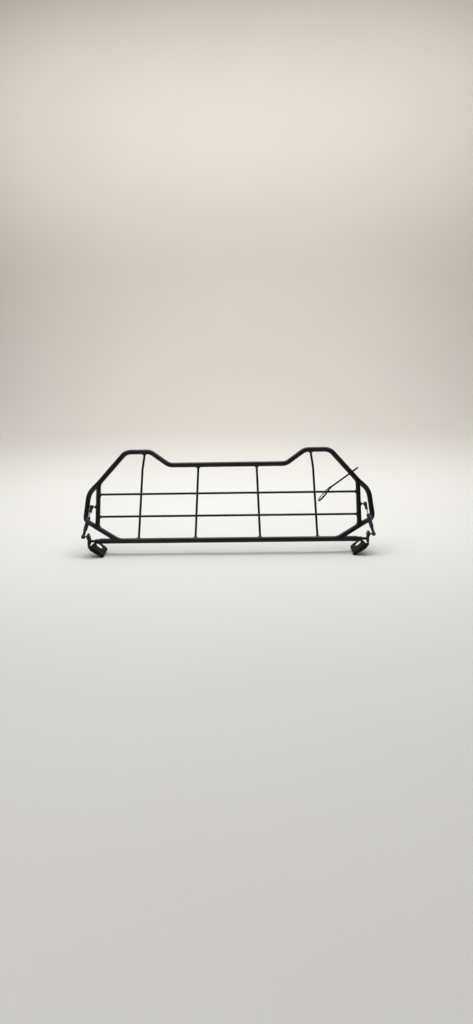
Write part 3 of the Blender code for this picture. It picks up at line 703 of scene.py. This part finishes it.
def outline_path():
    """The outer tube's centre line, from its left weld over the top to its right weld."""
    right = [
        Vector((DIP_HALF, 0.0, TOP_HEIGHT)),
        Vector((HUMP_INNER, 0.0, HUMP_HEIGHT)),
        Vector((HUMP_OUTER, 0.0, HUMP_HEIGHT)),
        Vector((POST_X, 0.0, SHOULDER_HEIGHT)),
        wing_point(*WING_TOP),
        wing_point(*WING_LOW),
        Vector((POST_X, 0.0, KNEE_HEIGHT)),
        Vector((FOOT_WELD_X, 0.0, 0.0)),
    ]
    left = [Vector((-p.x, p.y, p.z)) for p in reversed(right)]
    return bent_path(left + right, list(reversed(BENDS)) + list(BENDS))


def meet(tree, start, out, along, radius):
    """Where a line on a bar's skin runs into another tube, as (distance along, normal)."""
    for share in (0.97, 0.90, 0.80, 0.65, 0.40):
        hit, normal, _, _ = tree.ray_cast(start + out * radius * share, along)
        if hit:
            return (hit - start).dot(along), normal
    return None, None


def coped_rings(points, radius, sides, trees, side=Vector((0, 1, 0))):
    """Rings of a bar whose two end rings lie on the tubes that it is welded to."""
    rings = tube_rings(points, radius, sides, side)
    ends = ((0, points[1], points[0] - points[1]), (-1, points[-2], points[-1] - points[-2]))
    for (index, start, reach), tree in zip(ends, trees):
        along = reach.normalized()
        for i, point in enumerate(rings[index]):
            out = point - points[index]
            out = (out - along * out.dot(along)).normalized()
            distance, _ = meet(tree, start, out, along, radius)
            if distance is not None:
                rings[index][i] = start + out * radius + along * (distance + COPED_DEPTH)
    return rings


def weld_bead(name, start, along, radius, tree, leg):
    """A fillet of weld metal all round a bar, where it runs into a tube along the direction given.

    Each cross section goes from the bar's skin over a slightly hollow face to the tube's skin. Its
    leg varies as a hand-made bead does, and fine ripples follow one another round the bar.
    """
    along = along.normalized()
    side = along.orthogonal().normalized()
    up = along.cross(side)
    count = max(40, round(2 * pi * (radius + leg) / WELD_STEP))
    ripples = max(8, round(2 * pi * (radius + leg / 2) / WELD_RIPPLE_PITCH))
    sections = []
    for turn in turns(count):
        out = side * cos(turn) + up * sin(turn)
        distance, normal = meet(tree, start, out, along, radius)
        corner = start + out * radius + along * distance
        place = GRILLE @ corner
        size = leg * (1.0 + 0.22 * noise.noise(place * 160.0))
        wobble = 1.6 * noise.noise(place * 210.0)
        ripple = WELD_RIPPLE * (1.0 + 0.6 * noise.noise(place * 120.0))
        away = (out - normal * out.dot(normal)).normalized()
        toe, toe_normal, _, _ = tree.find_nearest(corner + away * size)
        top = corner - along * size - out * WELD_SUNK
        toe = toe - toe_normal * WELD_SUNK
        middle = corner.lerp((top + toe) / 2, WELD_HOLLOW)
        face = []
        for i in range(7):
            t = i / 6
            crescent = cos(ripples * turn + wobble + 1.6 * (t - 0.5) ** 2 * 4)
            lift = (out + normal).normalized() * ripple * crescent * sin(pi * t)
            face.append(eased(top, middle, toe, t) + lift)
        root = corner - out * 0.0012 + along * 0.0008
        sections.append(face + [root])
    piece(name, lofted(name, sections, True, GRILLE, 70.0), "grille", WELD)


def crossing_weld(name, x, height):
    """The ring of metal squeezed out where a cross rod is resistance welded to an upright."""
    sections = []
    for k, turn in enumerate(turns(40)):
        reach = NUGGET_REACH + 0.0004 * noise.noise(Vector((x * 90, height * 90, k * 0.23)))
        across = Vector((cos(turn), 0.0, sin(turn)))
        saddle = (across.z ** 2 - across.x ** 2) * reach ** 2 / (4 * ROD_RADIUS)
        centre = Vector((x, saddle, height)) + across * reach
        wide = across * NUGGET_WIDE
        high = Vector((0, NUGGET_HIGH, 0))
        sections.append([centre + wide * cos(a) + high * sin(a) for a in turns(10)])
    piece(name, lofted(name, sections, True, GRILLE), "grille", WELD)


def hinge_tube_mesh():
    """The straight tube, with its bore open at both ends and its cut edges deburred."""
    inner = HINGE_RADIUS - TUBE_WALL
    profile = [
        (inner, -HINGE_HALF),
        (HINGE_RADIUS, -HINGE_HALF),
        (HINGE_RADIUS, HINGE_HALF),
        (inner, HINGE_HALF),
    ]
    rings = turned(rounded_profile(profile, 0.0004), 48, outward(1))
    return lofted("hinge_tube", rings, closed=True)


def upright_points(line, sign):
    points = [Vector((sign * x, ROD_OFFSET, height)) for x, height in line]
    if len(points) == 3:
        points = bent_path(points, [0.030])
    return points


def upright_x(line, height):
    """How far out an upright is at a height."""
    for (x0, low), (x1, high) in zip(line, line[1:]):
        if low <= height <= high:
            return x0 + (x1 - x0) * (height - low) / (high - low)
    return line[-1][0]


def tie_strap(route):
    """The strap: a flat section that thins to a tapered tip, with moulded teeth on its inner face."""
    across = (route[1] - route[0]).cross(Vector((0, 1, 0))).normalized()
    fine = spaced(route, 0.0005)
    rings = []
    length = 0.0
    for i, (point, side, up) in enumerate(path_frames(fine, across)):
        if i:
            length += (fine[i] - fine[i - 1]).length
        taper = min(1.0, 0.35 + length / TIE_TAPER)
        half = TIE_WIDTH / 2 * taper
        thick = TIE_THICKNESS / 2 * (0.75 + 0.25 * taper)
        tooth = TIE_TOOTH * ((length / TIE_TOOTH_PITCH) % 1.0) if length > 0.010 else 0.0
        inner = [(half, -thick + TIE_EDGE), (half - TIE_EDGE, -thick)]
        inner += [(half * 0.55, -thick), (half * 0.5, -thick + tooth)]
        outer = [(half - TIE_EDGE, thick), (half, thick - TIE_EDGE)]
        mirrored = [(-u, v) for u, v in inner[::-1] + outer[::-1]]
        corners = inner + mirrored + outer
        rings.append([point + side * u + up * v for u, v in corners])
    return rings


def tie_head_mesh(route):
    """The ratchet head: a rounded block with a raised rim round its slot."""
    along = (route[1] - route[0]).normalized()
    across = along.cross(Vector((0, 1, 0))).normalized()
    turn = basis(along, across, along.cross(across))
    shape = bmesh.new()
    bmesh.ops.create_cube(shape, size=1.0)
    bmesh.ops.scale(shape, vec=TIE_HEAD_SIZE, verts=shape.verts)
    end = [face for face in shape.faces if abs(face.normal.x) > 0.9]
    bmesh.ops.inset_individual(shape, faces=end, thickness=TIE_SLOT_RIM)
    for face in end:
        bmesh.ops.translate(shape, vec=face.normal * -TIE_SLOT_DEPTH, verts=face.verts)
    sharp = [edge for edge in shape.edges if edge.calc_face_angle(0.0) > 1.0]
    bmesh.ops.bevel(
        shape, geom=sharp, offset=TIE_HEAD_EDGE, segments=3, profile=0.6, affect="EDGES"
    )
    bmesh.ops.transform(shape, matrix=Matrix.Translation(TIE_HEAD) @ turn, verts=shape.verts)
    return mesh_of("tie_head", shape)


def cable_tie():
    route = smooth_route([Vector(point) for point in TIE_ROUTE], 6)
    strap = lofted("cable_tie_strap", tie_strap(route), False, GRILLE, 30.0)
    piece("cable_tie_strap", strap, "grille", STRAP, ("cable_tie",))
    head = tie_head_mesh(route)
    head.transform(GRILLE)
    head.name = "cable_tie_head"
    piece("cable_tie_head", head, "grille", NYLON)


def post_stud(side, sign, post_tree):
    """The welded stud on the side post: a flange, a shank and the neck that enters the socket."""
    low = POST_X + POST_RADIUS - 0.0015
    profile = [
        (0.0, POST_STUD_TIP),
        (STUD_NECK, POST_STUD_TIP),
        (STUD_NECK, POST_STUD_STEP),
        (STUD_SHANK, POST_STUD_STEP - STUD_CHAMFER),
        (STUD_SHANK, POST_STUD_FACE),
        (STUD_FLANGE, POST_STUD_FACE),
        (STUD_FLANGE, low),
        (0.0, low),
    ]
    axis = outward(sign, (0, 0, POST_STUD_HEIGHT))
    name = "post_stud_" + side
    turned_piece(name, name, profile, axis, "grille", COAT, 0.0005, lean=GRILLE)
    start = Vector((sign * 0.520, 0.0, POST_STUD_HEIGHT))
    weld_bead("weld_stud_" + side, start, Vector((-sign, 0, 0)), STUD_FLANGE * 0.96, post_tree, STUD_WELD)


def hinge_bush(side, sign):
    """The nylon bush in one end of the hinge tube, with its collar against the tube."""
    face = HINGE_HALF + GAP
    inner = AXLE_RADIUS + 0.0001
    profile = [
        (inner, HINGE_HALF - BUSH_DEPTH),
        (inner, face + BUSH_COLLAR),
        (BUSH_COLLAR_RADIUS, face + BUSH_COLLAR),
        (BUSH_COLLAR_RADIUS, face),
        (BUSH_PLUG_RADIUS, face),
        (BUSH_PLUG_RADIUS, HINGE_HALF - BUSH_DEPTH),
    ]
    name = "hinge_bush_" + side
    turned_piece(name, name, profile, outward(sign), "grille", NYLON, 0.0004, lean=GRILLE, closed=True)


def grille_bar(name, node, points, radius, sides, trees):
    """A bar of the grille, its ends fitted to the tubes that it is welded to, and its own tree."""
    mesh = lofted(name, coped_rings(points, radius, sides, trees))
    tree = tree_of(mesh)
    mesh.transform(GRILLE)
    piece(name, mesh, "grille", COAT, (node,))
    return tree


def side_post(side, sign, outer_tree):
    """The upright tube with its welds, its stud and the bush below it. Returns the tube's tree."""
    low = Vector((sign * POST_X, 0, KNEE_HEIGHT + 0.004))
    high = Vector((sign * POST_X, 0, SHOULDER_HEIGHT - 0.004))
    middle = low.lerp(high, 0.5)
    name = "side_post_" + side
    ends = (outer_tree, outer_tree)
    tree = grille_bar(name + "_tube", name, [low, middle, high], POST_RADIUS, 32, ends)
    for end, rise in (("top", 1), ("foot", -1)):
        way = Vector((0, 0, rise))
        weld_bead(f"weld_post_{end}_{side}", middle, way, POST_RADIUS, outer_tree, POST_WELD)
    post_stud(side, sign, tree)
    hinge_bush(side, sign)
    return tree


def cross_rod(name, height, post_trees):
    """A long rod between the side posts, in front of the uprights, with its two welds."""
    ends = [Vector((x * (POST_X - 0.004), -ROD_OFFSET, height)) for x in (-1, 1)]
    points = [ends[0], ends[0].lerp(ends[1], 0.2), ends[0].lerp(ends[1], 0.8), ends[1]]
    grille_bar(name + "_bar", name, points, ROD_RADIUS, 24, post_trees.values())
    for (side, sign), point in zip(SIDES.items(), points[1:3]):
        way = Vector((sign, 0, 0))
        weld_bead(f"weld_{name}_{side}", point, way, ROD_RADIUS, post_trees[side], ROD_WELD)


def upright(name, line, sign, hinge_tree, outer_tree):
    """A rod from the hinge tube to the outer tube, welded at both ends and to each cross rod."""
    fine = spaced(upright_points(line, sign), 0.06)
    grille_bar(name + "_bar", name, fine, ROD_RADIUS, 24, (hinge_tree, outer_tree))
    foot, low, high, top = fine[0], fine[1], fine[-2], fine[-1]
    weld_bead(f"weld_{name}_foot", low, foot - low, ROD_RADIUS, hinge_tree, UPRIGHT_FOOT_WELD)
    weld_bead(f"weld_{name}_top", high, top - high, ROD_RADIUS, outer_tree, UPRIGHT_TOP_WELD)
    for rod, height in CROSS_HEIGHTS.items():
        crossing_weld(f"weld_{name}_{rod}", sign * upright_x(line, height), height)


def build_grille():
    hinge = hinge_tube_mesh()
    hinge_tree = tree_of(hinge)
    path = spaced(outline_path(), 0.03)
    outer_tree = tree_of(lofted("outer_probe", tube_rings(path, MAIN_RADIUS, 48)))
    grille_bar("outer_tube_bent", "outer_tube", path, MAIN_RADIUS, 32, (hinge_tree, hinge_tree))
    hinge.transform(GRILLE)
    piece("hinge_tube_straight", hinge, "grille", COAT, ("hinge_tube",))
    for label, start, stop in (("left", path[1], path[0]), ("right", path[-2], path[-1])):
        weld_bead("weld_foot_" + label, start, stop - start, MAIN_RADIUS, hinge_tree, FOOT_WELD)
    post_trees = {side: side_post(side, sign, outer_tree) for side, sign in SIDES.items()}
    for name, height in CROSS_HEIGHTS.items():
        cross_rod(name, height, post_trees)
    for kind, line in UPRIGHTS.items():
        for side, sign in SIDES.items():
            upright(kind + "_" + side, line, sign, hinge_tree, outer_tree)
    cable_tie()


# Brackets and axle, in world directions

def ear_centre():
    """The ear's ball stud, at the foot of the gas spring."""
    pivot = Vector(JOINTS["cylinder_pivot_right"]["pos_m"])
    return Vector((0.0, pivot.y, pivot.z))


def convex_outline(circles, corners, count=64):
    """The outline round some circles (centre, radius) and corner points, as (y, z) points."""
    points = [tuple(corner) for corner in corners]
    for (y, z), radius in circles:
        for angle in turns(count):
            points.append((y + radius * cos(angle), z + radius * sin(angle)))
    return [points[i] for i in convex_hull_2d(points)]


def cheek_outline():
    ear = ear_centre()
    circles = [((ear.y, ear.z), EAR_RADIUS), ((0.0, 0.0), HINGE_BOSS_RADIUS)]
    corners = [(WEB_Y, CHEEK_FRONT_TOP), (WEB_Y, CHEEK_LOW), (WEB_Y + 0.024, CHEEK_LOW)]
    return [Vector((CHEEK_X, y, z)) for y, z in convex_outline(circles, corners)]


def in_web(x, z):
    """A point of the bracket's front web."""
    return Vector((x, WEB_Y, z))


def web_outline():
    flat = [
        (CHEEK_X, CHEEK_LOW),
        (CHEEK_X, CHEEK_FRONT_TOP),
        RIDGE_OUTER,
        RIDGE_INNER,
        *WEB_FOOT,
    ]
    return [in_web(*point) for point in flat]


def plate_directions():
    """The two directions of the sloping plate: along its ridge inward, and to the back."""
    along = Vector((RIDGE_INNER[0] - RIDGE_OUTER[0], 0.0, RIDGE_INNER[1] - RIDGE_OUTER[1])).normalized()
    back = Vector((0.0, cos(PLATE_RISE), sin(PLATE_RISE)))
    return along, back


def plate_outline():
    """The mounting plate behind the ridge, its free corners rounded."""
    along, back = plate_directions()
    outer = in_web(*RIDGE_OUTER)
    inner = in_web(*RIDGE_INNER)
    corners = [
        outer,
        inner,
        inner + along * PLATE_FLARE + back * PLATE_DEPTH,
        outer + along * PLATE_TAPER + back * PLATE_DEPTH,
    ]
    path = bent_path([outer] + corners[1:] + [outer], [0.0001, PLATE_CORNER, PLATE_CORNER])
    return [outer, inner] + [p for p in path[1:-1] if (p - inner).length > 0.0005]


def bracket_sheet():
    """The right-hand bracket's mid surface: cheek, web and plate, with its two bends rounded."""
    shape = bmesh.new()
    for outline in (cheek_outline(), web_outline(), plate_outline()):
        shape.faces.new([shape.verts.new(point) for point in outline])
    bmesh.ops.remove_doubles(shape, verts=shape.verts, dist=0.00001)
    bmesh.ops.recalc_face_normals(shape, faces=shape.faces)
    bends = [edge for edge in shape.edges if len(edge.link_faces) == 2]
    bmesh.ops.bevel(shape, geom=bends, offset=SHEET_BEND, segments=8, profile=0.5, affect="EDGES")
    return shape


def bracket(side, sign):
    """A pressed bracket of one sheet, with its holes and every cut edge slightly rounded."""
    name = "bracket_" + side
    shape = bracket_sheet()
    if sign < 0:
        bmesh.ops.scale(shape, vec=(-1, 1, 1), verts=shape.verts)
        bmesh.ops.reverse_faces(shape, faces=shape.faces)
    ear = ear_centre()
    along, back = plate_directions()
    hole = in_web(*RIDGE_OUTER) + along * PLATE_HOLE_PLACE[0] + back * PLATE_HOLE_PLACE[1]
    holes = (
        (Vector((CHEEK_X, 0, 0)), Vector((1, 0, 0)), AXLE_RADIUS + GAP),
        (Vector((CHEEK_X, ear.y, ear.z)), Vector((1, 0, 0)), STUD_SHANK + GAP),
        (hole, along.cross(back), PLATE_HOLE_RADIUS),
    )
    flip = Vector((sign, 1, 1))
    reach = 2 * SHEET
    steps = []
    for at, axis, radius in holes:
        steps.append(("DIFFERENCE", drill(radius, -reach, reach, 48, axis_frame(at * flip, axis * flip))))
    made = shaped(name, plain_mesh(name, shape), steps, SHEET, SHEET_EDGE)
    piece(name + "_pressing", made, "brackets", DIP, (name,))


def hinge_axle():
    low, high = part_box("hinge_axle")
    chamfer = 0.0008
    profile = [
        (0.0, low.x),
        (AXLE_RADIUS - chamfer, low.x),
        (AXLE_RADIUS, low.x + chamfer),
        (AXLE_RADIUS, high.x - chamfer),
        (AXLE_RADIUS - chamfer, high.x),
        (0.0, high.x),
    ]
    turned_piece("hinge_axle_bar", "hinge_axle", profile, outward(1), "brackets", AXLE)


def axle_cap(side, sign):
    """A push-on cap with a rolled skirt and a recessed crown."""
    name = "axle_cap_" + side
    low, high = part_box(name)
    start, stop = sorted((abs(low.x), abs(high.x)))
    profile = [
        (AXLE_RADIUS + GAP, start + 0.0007),
        (AXLE_RADIUS + GAP, start),
        (CAP_RADIUS, start),
        (CAP_RADIUS, start + 0.0015),
        (CAP_RADIUS - 0.0017, start + 0.0021),
        (CAP_RADIUS - 0.0019, stop - 0.0009),
        (CAP_RADIUS - 0.0032, stop),
        (CAP_RADIUS - 0.0052, stop),
        (CAP_RADIUS - 0.0057, stop - 0.0007),
        (0.0, stop - 0.0007),
    ]
    inside = [(0.0, stop - 0.0016), (AXLE_RADIUS + GAP, stop - 0.0022)]
    profile = inside + rounded_profile(profile, 0.0004)
    turned_piece(name + "_steel", name, profile, outward(sign), "brackets", ZINC, steps=56)


def threaded_rings(radius, low, high, matrix, sides=40):
    """Rings of a right-hand thread, its ridges faded out at both ends."""
    rings = []
    count = round((high - low) / (THREAD_PITCH / 8))
    for k in range(count + 1):
        height = low + (high - low) * k / count
        fade = max(0.0, min(1.0, (height - low) / 0.0006, (high - height) / 0.0006))
        level = []
        for i, angle in enumerate(turns(sides)):
            phase = (height / THREAD_PITCH - i / sides) % 1.0
            depth = THREAD_DEPTH * abs(2 * phase - 1) * fade + 0.0004 * (1 - fade)
            level.append(matrix @ polar(radius - depth, angle, height))
        rings.append(level)
    return rings


def ear_stud(side, sign):
    """The ball stud through the ear: ball, neck, round flange and a threaded end for its nut."""
    name = "ear_stud_" + side
    outer = CHEEK_X + SHEET / 2 + GAP
    ball = abs(JOINTS["cylinder_pivot_right"]["pos_m"][0])
    neck = pi - asin(STUD_NECK / BALL_RADIUS)
    angles = [neck * i / 14 for i in range(15)]
    profile = [(BALL_RADIUS * sin(a), ball + BALL_RADIUS * cos(a)) for a in angles]
    rest = [
        profile[-1],
        (STUD_NECK, EAR_STUD_STEP),
        (STUD_SHANK, EAR_STUD_STEP - STUD_CHAMFER),
        (STUD_SHANK, outer + EAR_FLANGE_DEPTH),
        (EAR_FLANGE, outer + EAR_FLANGE_DEPTH),
        (EAR_FLANGE, outer),
        (STUD_SHANK, outer),
        (STUD_SHANK, CHEEK_X - SHEET / 2),
    ]
    matrix = outward(sign, ear_centre())
    shape = bmesh.new()
    loft(shape, turned(profile[:-1] + rounded_profile(rest, 0.0006), 48, matrix))
    end = CHEEK_X - SHEET / 2 - NUT_HEIGHT - STUD_THREAD_END
    loft(shape, threaded_rings(STUD_SHANK, end, CHEEK_X - SHEET / 2 + 0.0005, matrix))
    piece(name + "_steel", mesh_of(name, shape, crease=60.0), "brackets", ZINC, (name,))


def ear_nut(side, sign):
    """A hexagon nut whose corners are turned off at 30 degrees on both faces."""
    name = "ear_nut_" + side
    high = CHEEK_X - SHEET / 2 - GAP
    low = high - NUT_HEIGHT
    matrix = outward(sign, ear_centre())
    levels = [0.0, 0.0001, 0.0003, 0.0005, 0.0007, 0.0010]
    heights = [low + v for v in levels] + [high - v for v in reversed(levels)]
    bore = STUD_SHANK + 0.0002
    mouth = STUD_SHANK + 0.0009
    rings = [ring(bore, low + 0.0006, 72, matrix), ring(mouth, low, 72, matrix)]
    for height in heights:
        depth = min(height - low, high - height)
        cone = NUT_FLATS / 2 * 0.97 + depth / tan(radians(30.0))
        level = []
        for angle in turns(72):
            flat = NUT_FLATS / 2 / cos((angle + pi / 6) % (pi / 3) - pi / 6)
            reach = min(flat, cone)
            level.append(matrix @ polar(reach, angle, height))
        rings.append(level)
    rings += [ring(mouth, high, 72, matrix), ring(bore, high - 0.0006, 72, matrix)]
    piece(name + "_steel", lofted(name, rings, True, crease=28.0), "brackets", ZINC, (name,))


def build_brackets():
    hinge_axle()
    for side, sign in SIDES.items():
        bracket(side, sign)
        axle_cap(side, sign)
        ear_stud(side, sign)
        ear_nut(side, sign)


# Gas springs: z along the spring from the lower ball, x outward along the stud

def spring_frame(side, sign):
    """The spring's own frame, from its two joints, and its length between ball centres."""
    low = Vector(JOINTS["cylinder_pivot_" + side]["pos_m"])
    axis = Vector(JOINTS["rod_slide_" + side]["axis"]).normalized()
    out = Vector((sign, 0, 0))
    out = (out - axis * out.dot(axis)).normalized()
    high = POST_STUD_HEIGHT * cos(LEAN)
    turn = basis(out, axis.cross(out), axis)
    return Matrix.Translation(low) @ turn, (high - low.z) / axis.z


def ribbed_shank(reach, direction):
    """A socket's shank, with eight faint ribs along it and a collar at its end."""
    lines = [
        (SOCKET_SHANK, SOCKET_SHANK_LOW, 0.0),
        (SOCKET_SHANK, 2 * SOCKET_SHANK_LOW, SOCKET_RIB),
        (SOCKET_SHANK, reach - 0.0045, SOCKET_RIB),
        (SOCKET_SHANK, reach - 0.0038, 0.0),
        (SOCKET_COLLAR, reach - 0.0030, 0.0),
        (SOCKET_COLLAR, reach - 0.0006, 0.0),
        (SOCKET_SHANK + 0.0006, reach, 0.0),
    ]
    rings = [ring(0.0, SOCKET_SHANK_LOW, 1, direction)]
    for radius, level, rib in lines:
        ribbed = [(radius + rib * max(0.0, cos(8 * angle)) ** 2, angle) for angle in turns(64)]
        rings.append([direction @ polar(reached, angle, level) for reached, angle in ribbed])
    rings.append(ring(0.0, reach, 1, direction))
    return lofted("shank", rings)


def ball_cup(matrix):
    """The room for the ball, with a mouth that is narrower than the ball."""
    ball = BALL_RADIUS + GAP
    mouth = pi - asin(CUP_MOUTH / ball)
    profile = [(ball * sin(mouth * i / 12), ball * cos(mouth * i / 12)) for i in range(13)]
    profile += [(CUP_MOUTH + 0.0004, -SOCKET_HALF - 0.001), (0.0, -SOCKET_HALF - 0.001)]
    return lofted("cup", turned(profile, 40, matrix))


def socket(name, height, up, reach, matrix, body):
    """A moulded ball socket: domed head with a ring recess, ribbed shank, collar and open cup."""
    head = [
        (0.0, SOCKET_HALF - 0.0008),
        (0.0034, SOCKET_HALF - 0.0008),
        (0.0040, SOCKET_HALF),
        (SOCKET_RADIUS - SOCKET_EDGE, SOCKET_HALF),
        (SOCKET_RADIUS, SOCKET_HALF - SOCKET_EDGE),
        (SOCKET_RADIUS, -SOCKET_HALF + SOCKET_EDGE),
        (SOCKET_RADIUS - SOCKET_EDGE, -SOCKET_HALF),
        (0.0, -SOCKET_HALF),
    ]
    place = (0, 0, height)
    base = lofted("head", turned(rounded_profile(head, 0.0007), 56, outward(-1, place)))
    direction = axis_frame(place, (0, 0, up))
    bore_low = reach - SOCKET_THREAD - GAP
    steps = (
        ("UNION", ribbed_shank(reach, direction)),
        ("DIFFERENCE", ball_cup(outward(1, place))),
        ("DIFFERENCE", drill(PISTON_ROD_RADIUS + GAP / 3, bore_low, reach + 0.001, 40, direction)),
    )
    made = shaped(name, base, steps)
    made.transform(matrix)
    piece(name + "_moulding", made, body, NYLON, (name,))


def socket_clip(name, height, up, matrix, body):
    """A spring wire round the socket's head, with one end turned out to pull it by."""
    radius = SOCKET_RADIUS + CLIP_WIRE * 0.9
    start = radians(44.0)
    stop = radians(316.0)
    points = []
    for i in range(49):
        angle = start + (stop - start) * i / 48
        points.append(Vector((0.002, radius * sin(angle), height + up * radius * cos(angle))))
    tip = points[0] - points[1]
    points.insert(0, points[0] + tip.normalized() * 0.0008 + Vector((0.0008, 0, 0)))
    wire = lofted(name, tube_rings(points, CLIP_WIRE, 12, Vector((1, 0, 0))), False, matrix)
    piece(name + "_wire", wire, body, WIRE, (name,))


def gas_cylinder(side, matrix):
    """The pressure tube: a welded foot, a rolled retaining groove and a closed-in rim."""
    low = LOWER_SOCKET_LENGTH + GAP
    top = CYLINDER_TOP
    radius = CYLINDER_RADIUS
    stud_end = LOWER_SOCKET_LENGTH - SOCKET_THREAD
    profile = [
        (0.0, stud_end),
        (PISTON_ROD_RADIUS, stud_end),
        (PISTON_ROD_RADIUS, low),
        (radius - 0.0020, low),
        (radius, low + 0.0018),
        (radius, top - 0.0128),
        (CYLINDER_GROOVE, top - 0.0120),
        (CYLINDER_GROOVE, top - 0.0112),
        (radius, top - 0.0104),
        (radius, top - 0.0046),
        (CYLINDER_GROOVE, top - 0.0030),
        (CYLINDER_GROOVE, top - 0.0008),
        (0.0062, top),
        (CYLINDER_MOUTH, top),
        (CYLINDER_MOUTH, top - 0.0008),
        (CYLINDER_BORE, top - 0.0012),
        (CYLINDER_BORE, low + 0.0045),
        (0.0, low + 0.0040),
    ]
    name = "gas_cylinder_" + side
    body = "cylinder_" + side
    turned_piece(name + "_tube", name, profile, matrix, body, ENAMEL, 0.0005, 64, crease=50.0)


def piston_rod(side, length, matrix):
    """The polished rod, stepped down at its foot where the piston sits."""
    high = length - UPPER_SOCKET_LENGTH + SOCKET_THREAD
    foot = PISTON_TOP - 0.0068
    profile = [
        (0.0, foot - 0.0014),
        (PISTON_ROD_RADIUS, foot - 0.0010),
        (PISTON_ROD_RADIUS, foot),
        (PISTON_SEAT, foot),
        (PISTON_SEAT, PISTON_TOP),
        (PISTON_ROD_RADIUS, PISTON_TOP),
        (PISTON_ROD_RADIUS, high),
        (0.0, high),
    ]
    name = "piston_rod_" + side
    turned_piece(name + "_bar", name, profile, matrix, "rod_" + side, CHROME_PAINTED_REFLECTION, 0.0004)


def build_springs():
    for side, sign in SIDES.items():
        matrix, length = spring_frame(side, sign)
        gas_cylinder(side, matrix)
        piston_rod(side, length, matrix)
        socket("lower_socket_" + side, 0.0, 1.0, LOWER_SOCKET_LENGTH, matrix, "cylinder_" + side)
        socket("upper_socket_" + side, length, -1.0, UPPER_SOCKET_LENGTH, matrix, "rod_" + side)
        socket_clip("lower_clip_" + side, 0.0, 1.0, matrix, "cylinder_" + side)
        socket_clip("upper_clip_" + side, length, -1.0, matrix, "rod_" + side)
        for node, finish in (("rod_guide_", RUBBER), ("piston_", NYLON)):
            slots = frame["nodes"][node + side].data.materials
            slots.clear()
            slots.append(finish.material)


# Stage

def studio_sweep():
    """A pale floor that curves up into a pale backdrop, well behind the object."""
    half = 7.0
    radius = 1.5
    back = 4.5
    low = CAD_BOX[0].z
    profile = [(-7.0, low), (back - radius, low)]
    for i in range(1, 25):
        angle = pi / 2 * i / 24
        profile.append((back - radius + radius * sin(angle), low + radius * (1 - cos(angle))))
    profile.append((back, low + 7.0))
    shape = bmesh.new()
    rows = [[shape.verts.new((x, y, z)) for x in (-half, half)] for y, z in profile]
    for first, second in zip(rows, rows[1:]):
        shape.faces.new((first[0], first[1], second[1], second[0]))
    mesh = plain_mesh("studio_sweep", shape)
    mesh.shade_smooth()
    floor = placed("studio_sweep", mesh)
    finish = Finish("studio_paint", None, (0.70, 0.66, 0.605), 0.80)
    finish.mottle(0.9, 2.0, 0.35, 0.70, 0.5, (0.68, 0.635, 0.58))
    finish.grain(0.004, 3.0, 0.00005)
    mesh.materials.append(finish.material)


def area_light(name, place, target, size, power, colour=(1.0, 1.0, 1.0), spread=180.0):
    data = bpy.data.lights.new(name, "AREA")
    data.shape = "RECTANGLE"
    data.size, data.size_y = size
    data.energy = power
    data.color = colour
    data.spread = radians(spread)
    made = placed(name, data)
    made.location = place
    aim = Vector(target) - Vector(place)
    made.rotation_euler = aim.to_track_quat("-Z", "Y").to_euler()
    made.visible_camera = False


def lights():
    """Soft light from above and behind, on the backdrop and the floor in front, and a pale room."""
    area_light("overhead", (0.0, 0.6, 2.6), (0.0, 0.05, 0.1), (3.2, 1.6), 95.0, (0.86, 0.93, 1.0))
    area_light("backdrop", (0.0, 2.5, 3.3), (0.0, 4.5, 0.5), (6.0, 1.6), 100.0, (1.0, 0.995, 0.985))
    area_light("front_floor", (0.0, -4.6, 3.0), (0.0, -4.6, 0.0), (6.0, 2.0), 90.0, spread=100.0)
    area_light("fill", (-1.8, -2.6, 1.9), (0.0, 0.0, 0.1), (1.6, 1.6), 9.0, (0.98, 0.99, 1.0))
    world = bpy.data.worlds.new("studio")
    bpy.context.scene.world = world
    world.use_nodes = True
    room = Nodes(world.node_tree)
    direction = room.node("ShaderNodeSeparateXYZ")
    room.link(room.node("ShaderNodeTexCoord").outputs["Generated"], direction.inputs[0])
    brighter_behind = {"From Min": -0.5, "From Max": 0.7, "To Min": 0.10, "To Max": 0.45}
    ramp = room.node("ShaderNodeMapRange", brighter_behind, interpolation_type="SMOOTHSTEP")
    room.link(direction.outputs["Y"], ramp.inputs["Value"])
    walls = room.node("ShaderNodeMath", {1: 0.70}, operation="MULTIPLY")
    room.link(room.node("ShaderNodeLightPath").outputs["Is Camera Ray"], walls.inputs[0])
    strength = room.arithmetic("MAXIMUM", walls.outputs[0], ramp.outputs["Result"])
    background = room.tree.nodes["Background"]
    set_inputs(background, {"Color": (0.97, 0.98, 1.0, 1.0)})
    room.link(strength, background.inputs["Strength"])


def camera():
    """The photographer's place: in front, a little to the right, looking down at the guard."""
    yaw, pitch, roll = (radians(angle) for angle in CAMERA_TURN)
    ahead = Vector((sin(yaw) * cos(pitch), cos(yaw) * cos(pitch), -sin(pitch)))
    level = Vector((cos(yaw), -sin(yaw), 0.0))
    up = level.cross(ahead)
    right = level * cos(roll) + up * sin(roll)
    up = up * cos(roll) - level * sin(roll)
    data = bpy.data.cameras.new("camera")
    data.lens = CAMERA_LENS
    data.sensor_width = 36.0
    data.clip_start = 0.02
    made = placed("camera", data)
    made.matrix_world = Matrix.Translation(CAMERA_PLACE) @ basis(right, up, -ahead)
    bpy.context.scene.camera = made
    bpy.context.scene.view_settings.view_transform = "Standard"


camera()
lights()
studio_sweep()
build_brackets()
build_grille()
build_springs()
